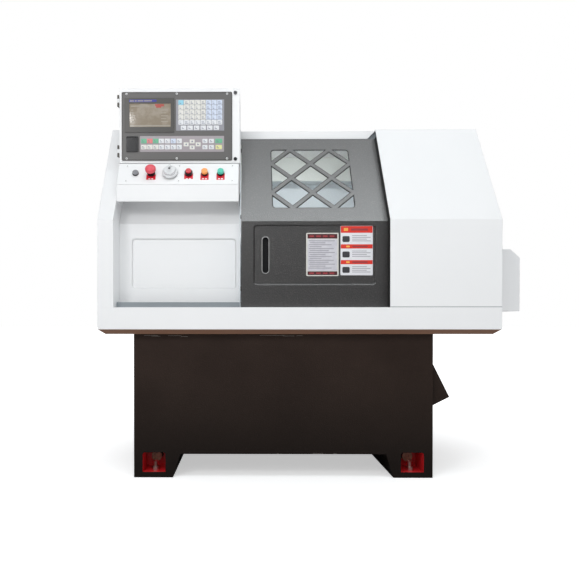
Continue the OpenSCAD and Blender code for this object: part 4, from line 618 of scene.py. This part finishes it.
DOOR_FIELD = (45, 81, 455, 224, 16)
COVER_FIELD = (46, 70, 402, 196, 16)
piece("door_field_wall", [field_wall(door_low, DOOR_FIELD)], door_coat, "sliding_door")
cover_low = np.array(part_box("headstock_cover")[0])
piece("cover_field_wall", [field_wall(cover_low, COVER_FIELD)], white_coat, "root")
plate_grey = finish("plate_grey_field", (0.34, 0.33, 0.37), 0.4, edge=0.0)
plate_dark = finish("plate_dark_field", (0.05, 0.048, 0.055), 0.4, edge=0.0)
plate_yellow = finish("plate_yellow_field", (0.85, 0.42, 0.08), 0.4, edge=0.0)
plate_frame = finish("plate_bright_frame", (0.66, 0.65, 0.60), 0.35, edge=0.0)
plate_maroon = finish("plate_dark_band", (0.085, 0.02, 0.025), 0.4, edge=0.0)
plate_mark = finish("plate_mark_field", (0.34, 0.045, 0.05), 0.4, edge=0.0)
plate_pale = finish("plate_pale_ground", (0.56, 0.55, 0.60), 0.4, edge=0.0,
                    mottle=(60.0, (0.62, 0.61, 0.65), 0.4, 0.6))
plate_white = finish("plate_white_ground", (0.75, 0.75, 0.78), 0.38, edge=0.0)
plate_red = finish("plate_red_band", (0.72, 0.035, 0.022), 0.38, edge=0.0)
piece("rating_plate", [door_field(241, 114, 120, 160, 4, 1.0)], plate_frame, "sliding_door")
piece("rating_plate_ground", [door_field(246, 133, 110, 118, 0.5, 0.2, 1.0)], plate_pale, "sliding_door")
piece("rating_plate_bands", [door_field(246, low, 110, height, 0.5, 0.2, 1.0)
                             for low, height in ((253, 17), (118, 13.5))],
      plate_maroon, "sliding_door")
piece("sign_plate", [door_field(368, 117, 119.5, 183, 3, 0.8)], plate_white, "sliding_door")
piece("sign_plate_bands", [door_field(369, low, 117.5, height, radius, 0.2, 0.8)
                           for low, height, radius in ((274, 25, 2), (216, 15.5, 0.5), (158, 15, 0.5))],
      plate_red, "sliding_door")
piece("rating_plate_fields",
      [door_field(251 + 3 * (row % 2), 243 - 7.2 * row, (96, 58, 84, 44, 92, 70)[row % 6], 3.0, 0.5, 0.1, 1.2)
       for row in range(15)], plate_grey, "sliding_door")
piece("rating_plate_marks", [door_field(253 + 25 * col, low, 17, 6, 1, 0.1, 1.2)
                             for col in range(4) for low in (258.5, 121.5)],
      plate_mark, "sliding_door")
piece("sign_plate_marks", [door_field(left, low, width, height, 1, 0.1, 1.0) for left, low, width, height in
                           ((407, 282, 62, 8), (412, 220.5, 56, 6), (412, 162.5, 56, 6))],
      plate_mark, "sliding_door")
piece("sign_plate_fields", [door_field(411, low + 6.5 * row, 68 - 14 * (row % 2), 2.4, 0.5, 0.1, 0.8)
                            for low in (128, 186, 243) for row in range(4)],
      plate_grey, "sliding_door")
piece("sign_plate_squares", [door_field(375, low, 27, 22, 5, 0.1, 0.8) for low in (126, 183, 240)],
      plate_dark, "sliding_door")
piece("sign_plate_dots", [door_field(left, low, width, height, 2, 0.1, 1.0)
                          for left, low, width, height in ((380, 281, 16, 11), (389, 220, 13, 7),
                                                           (389, 162, 13, 7))],
      plate_yellow, "sliding_door")


# Machine: the bed, the headstock and the saddle are grey-green painted castings. The cross slide, tool post
# and chuck are ground steel, and the spindle, pulleys and screws are turned.
casting = finish("casting_paint", (0.16, 0.23, 0.21), 0.45, edge=0.003, grain=(160, 0.0004, EVEN))
dress(casting, "machine_bed", "headstock", "saddle")
ground = finish("ground_steel", (0.56, 0.56, 0.57), 0.28, 1.0, edge=0.001, grain=(700, 0.00006, (1, 0.05, 1)))
dress(ground, "cross_slide", "tool_turret", "chuck_body")
turned = finish("turned_steel", (0.60, 0.60, 0.61), 0.24, 1.0, edge=0.001,
                grain=(900, 0.00005, (1, 0.05, 0.05)))
dress(turned, "spindle", "spindle_pulley", "motor_pulley", "spindle_bearings", "z_screw", "x_screw")
dress(finish("hardened_steel", (0.30, 0.30, 0.32), 0.36, 1.0, edge=0.0008),
      "chuck_jaw_1", "chuck_jaw_2", "chuck_jaw_3")
motor_paint = finish("motor_paint", (0.06, 0.12, 0.19), 0.42, edge=0.0015, grain=(220, 0.0003, EVEN))
dress(motor_paint, "main_motor", "coolant_pump")
servo_paint = finish("servo_black_paint", (0.02, 0.02, 0.022), 0.5, edge=0.0015, grain=(400, 0.0002, EVEN))
dress(servo_paint, "z_servo", "x_servo", "servo_drives", "coolant_pipe")
dress(finish("tank_paint", (0.30, 0.32, 0.35), 0.42, edge=0.002), "coolant_tank")


# Work lamp: a folded housing under the roof behind the door's upper rail, with a frosted tube in it. It
# lights the work space, so that the window shows the back sheet and the duct.
roof_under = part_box("upper_guard")[1][2] - 0.0025
LAMP_PLACE = np.array([-0.010, -0.080, roof_under])
DOWN_UP = np.array([0.0, -1.0, 0.0])
lamp_grey = finish("lamp_housing_paint", (0.55, 0.56, 0.58), 0.4, edge=0.001)
lamp_glow = finish("lamp_tube_glow", (0.9, 0.9, 0.9), 0.4, edge=0.0,
                   **{"Emission Color": (1.0, 0.98, 0.95, 1.0), "Emission Strength": 4.0})
piece("work_lamp_housing", [placed(raised(soft_edge(16 * MM, 5 * MM), outline_rounded, 0.40, 0.050, 0.006),
                                   LAMP_PLACE, RIGHT, DOWN_UP)], lamp_grey, "root")
piece("work_lamp_tube", [placed(raised(soft_edge(10 * MM, 8 * MM), outline_rounded, 0.37, 0.030, 0.012),
                                LAMP_PLACE - [0, 0, 0.0155], RIGHT, DOWN_UP)],
      lamp_glow, "root")


# Studio: a pale floor that runs out to white, a wide soft box overhead, one in front that leaves no
# highlight, a small hard one at the left, and a surround that brightens upwards. A strip lamp at the
# window's sill stands for the light that the tray throws back up.
def stage_floor():
    """A disc of rings whose radius grows by powers. Its own glow rises away from the lathe. Mirrored rays
    meet a dark grey in its place, as a studio flags the floor before a glossy black door."""
    radius = np.array([1.0, 2.5, 6.0, 15.0, 40.0])
    count = 64
    turn = np.arange(count) * 2 * np.pi / count
    points = np.vstack([[0, 0, 0]] + [np.c_[r * np.cos(turn), r * np.sin(turn), 0 * turn] for r in radius])
    index = np.arange(count)
    after = (index + 1) % count
    faces = np.c_[0 * index, 1 + index, 1 + after].tolist()
    for step in range(len(radius) - 1):
        a = 1 + step * count
        quads = np.c_[a + index, a + count + index, a + count + after, a + after]
        faces += quads.tolist()
    mesh = bpy.data.meshes.new("stage_floor")
    mesh.from_pydata(points, [], faces)
    made = finish("stage_floor_white", (0.93, 0.93, 0.93), 0.7, edge=0.0)
    tree = made.node_tree
    shader = tree.nodes["Principled BSDF"]
    place = tree.nodes.new("ShaderNodeTexCoord")
    distance = tree.nodes.new("ShaderNodeVectorMath")
    distance.operation = "LENGTH"
    glow = tree.nodes.new("ShaderNodeMapRange")
    for socket, value in (("From Min", 0.6), ("From Max", 2.2), ("To Min", 0.5), ("To Max", 1.0)):
        glow.inputs[socket].default_value = value
    seen = tree.nodes.new("ShaderNodeLightPath")
    share = tree.nodes.new("ShaderNodeMapRange")
    share.inputs["To Min"].default_value = 0.3
    strength = tree.nodes.new("ShaderNodeMath")
    strength.operation = "MULTIPLY"
    tree.links.new(seen.outputs["Is Camera Ray"], share.inputs["Value"])
    tree.links.new(glow.outputs["Result"], strength.inputs[0])
    tree.links.new(share.outputs["Result"], strength.inputs[1])
    tree.links.new(place.outputs["Object"], distance.inputs[0])
    tree.links.new(distance.outputs["Value"], glow.inputs["Value"])
    shader.inputs["Emission Color"].default_value = (1, 1, 1, 1)
    tree.links.new(strength.outputs["Value"], shader.inputs["Emission Strength"])
    flag = tree.nodes.new("ShaderNodeBsdfDiffuse")
    flag.inputs["Color"].default_value = (0.16, 0.16, 0.16, 1.0)
    either = tree.nodes.new("ShaderNodeMixShader")
    tree.links.new(seen.outputs["Is Glossy Ray"], either.inputs[0])
    tree.links.new(shader.outputs[0], either.inputs[1])
    tree.links.new(flag.outputs[0], either.inputs[2])
    tree.links.new(either.outputs[0], tree.nodes["Material Output"].inputs["Surface"])
    mesh.materials.append(made)
    floor = bpy.data.objects.new("stage_floor", mesh)
    bpy.context.scene.collection.objects.link(floor)


stage_floor()


def soft_box(name, place, target, width, height, radiance, colour=(1, 1, 1)):
    """A rectangular lamp that faces a target. Its power is radiance times pi times its area."""
    lamp = bpy.data.lights.new(name, "AREA")
    lamp.shape = "RECTANGLE"
    lamp.size, lamp.size_y = width, height
    lamp.energy = radiance * math.pi * width * height
    lamp.color = colour
    thing = bpy.data.objects.new(name, lamp)
    thing.location = place
    thing.rotation_mode = "QUATERNION"
    thing.rotation_quaternion = (Vector(target) - Vector(place)).to_track_quat("-Z", "Y")
    bpy.context.scene.collection.objects.link(thing)
    return thing


soft_box("overhead_soft_box", (0.2, -1.35, 3.0), (0.1, -0.2, 1.15), 2.6, 1.0, 2.65, (0.93, 0.985, 1.0))
soft_box("front_soft_box", (-0.4, -3.8, 2.2), (0.1, 0, 0.75), 3.0, 2.0, 1.5).visible_glossy = False
soft_box("side_soft_box", (-1.7, -3.1, 2.2), (-0.2, -0.3, 0.9), 0.5, 0.5, 19.0)
soft_box("work_lamp_light", LAMP_PLACE - [0, 0, 0.03], (-0.01, 0.10, 0.9), 0.36, 0.03, 26.0)
sill = soft_box("sill_bounce_light", (0.0, -0.245, 0.95), (0.0, 0.30, 1.30), 0.6, 0.13, 5.0,
                (1.0, 0.97, 0.94))
sill.visible_camera = False
world = bpy.data.worlds.new("surround")
world.use_nodes = True
bpy.context.scene.world = world
sky = world.node_tree
surround = sky.nodes["Background"]
surround.inputs["Color"].default_value = (0.96, 0.98, 1.0, 1.0)
height = sky.nodes.new("ShaderNodeSeparateXYZ")
brighter = sky.nodes.new("ShaderNodeMapRange")
for socket, value in (("From Min", 0.0), ("From Max", 0.8), ("To Min", 0.22), ("To Max", 0.52)):
    brighter.inputs[socket].default_value = value
direction = sky.nodes.new("ShaderNodeTexCoord")
sky.links.new(direction.outputs["Generated"], height.inputs["Vector"])
sky.links.new(height.outputs["Z"], brighter.inputs["Value"])
sky.links.new(brighter.outputs["Result"], surround.inputs["Strength"])
seen = sky.nodes.new("ShaderNodeBackground")
seen.inputs["Color"].default_value = (1.0, 1.0, 1.0, 1.0)
seen.inputs["Strength"].default_value = 1.0
path = sky.nodes.new("ShaderNodeLightPath")
either = sky.nodes.new("ShaderNodeMixShader")
sky.links.new(path.outputs["Is Camera Ray"], either.inputs[0])
sky.links.new(surround.outputs[0], either.inputs[1])
sky.links.new(seen.outputs[0], either.inputs[2])
sky.links.new(either.outputs[0], sky.nodes["World Output"].inputs["Surface"])
bpy.context.scene.view_settings.view_transform = "Standard"


# Camera: level with the chip tray's underside, in front of the left part of the door, as in the photograph.
# Its place and lens come from fitting the model's corners to theirs. The frame is 579 x 575.
FRAME_W, FRAME_H = 579, 575
FOCAL_PX = 622.4
AXIS_PX = (241.2, 323.5)
camera = bpy.data.cameras.new("camera")
camera.sensor_width = 36.0
camera.lens = FOCAL_PX / FRAME_W * camera.sensor_width
camera.shift_x = (FRAME_W / 2 - AXIS_PX[0]) / FRAME_W
camera.shift_y = (AXIS_PX[1] - FRAME_H / 2) / FRAME_W
viewer = bpy.data.objects.new("camera", camera)
viewer.location = (-0.2683, -2.6934, 0.5959)
viewer.rotation_euler = (math.radians(90 - 0.48), 0.0, math.radians(0.45))
bpy.context.scene.collection.objects.link(viewer)
bpy.context.scene.camera = viewer
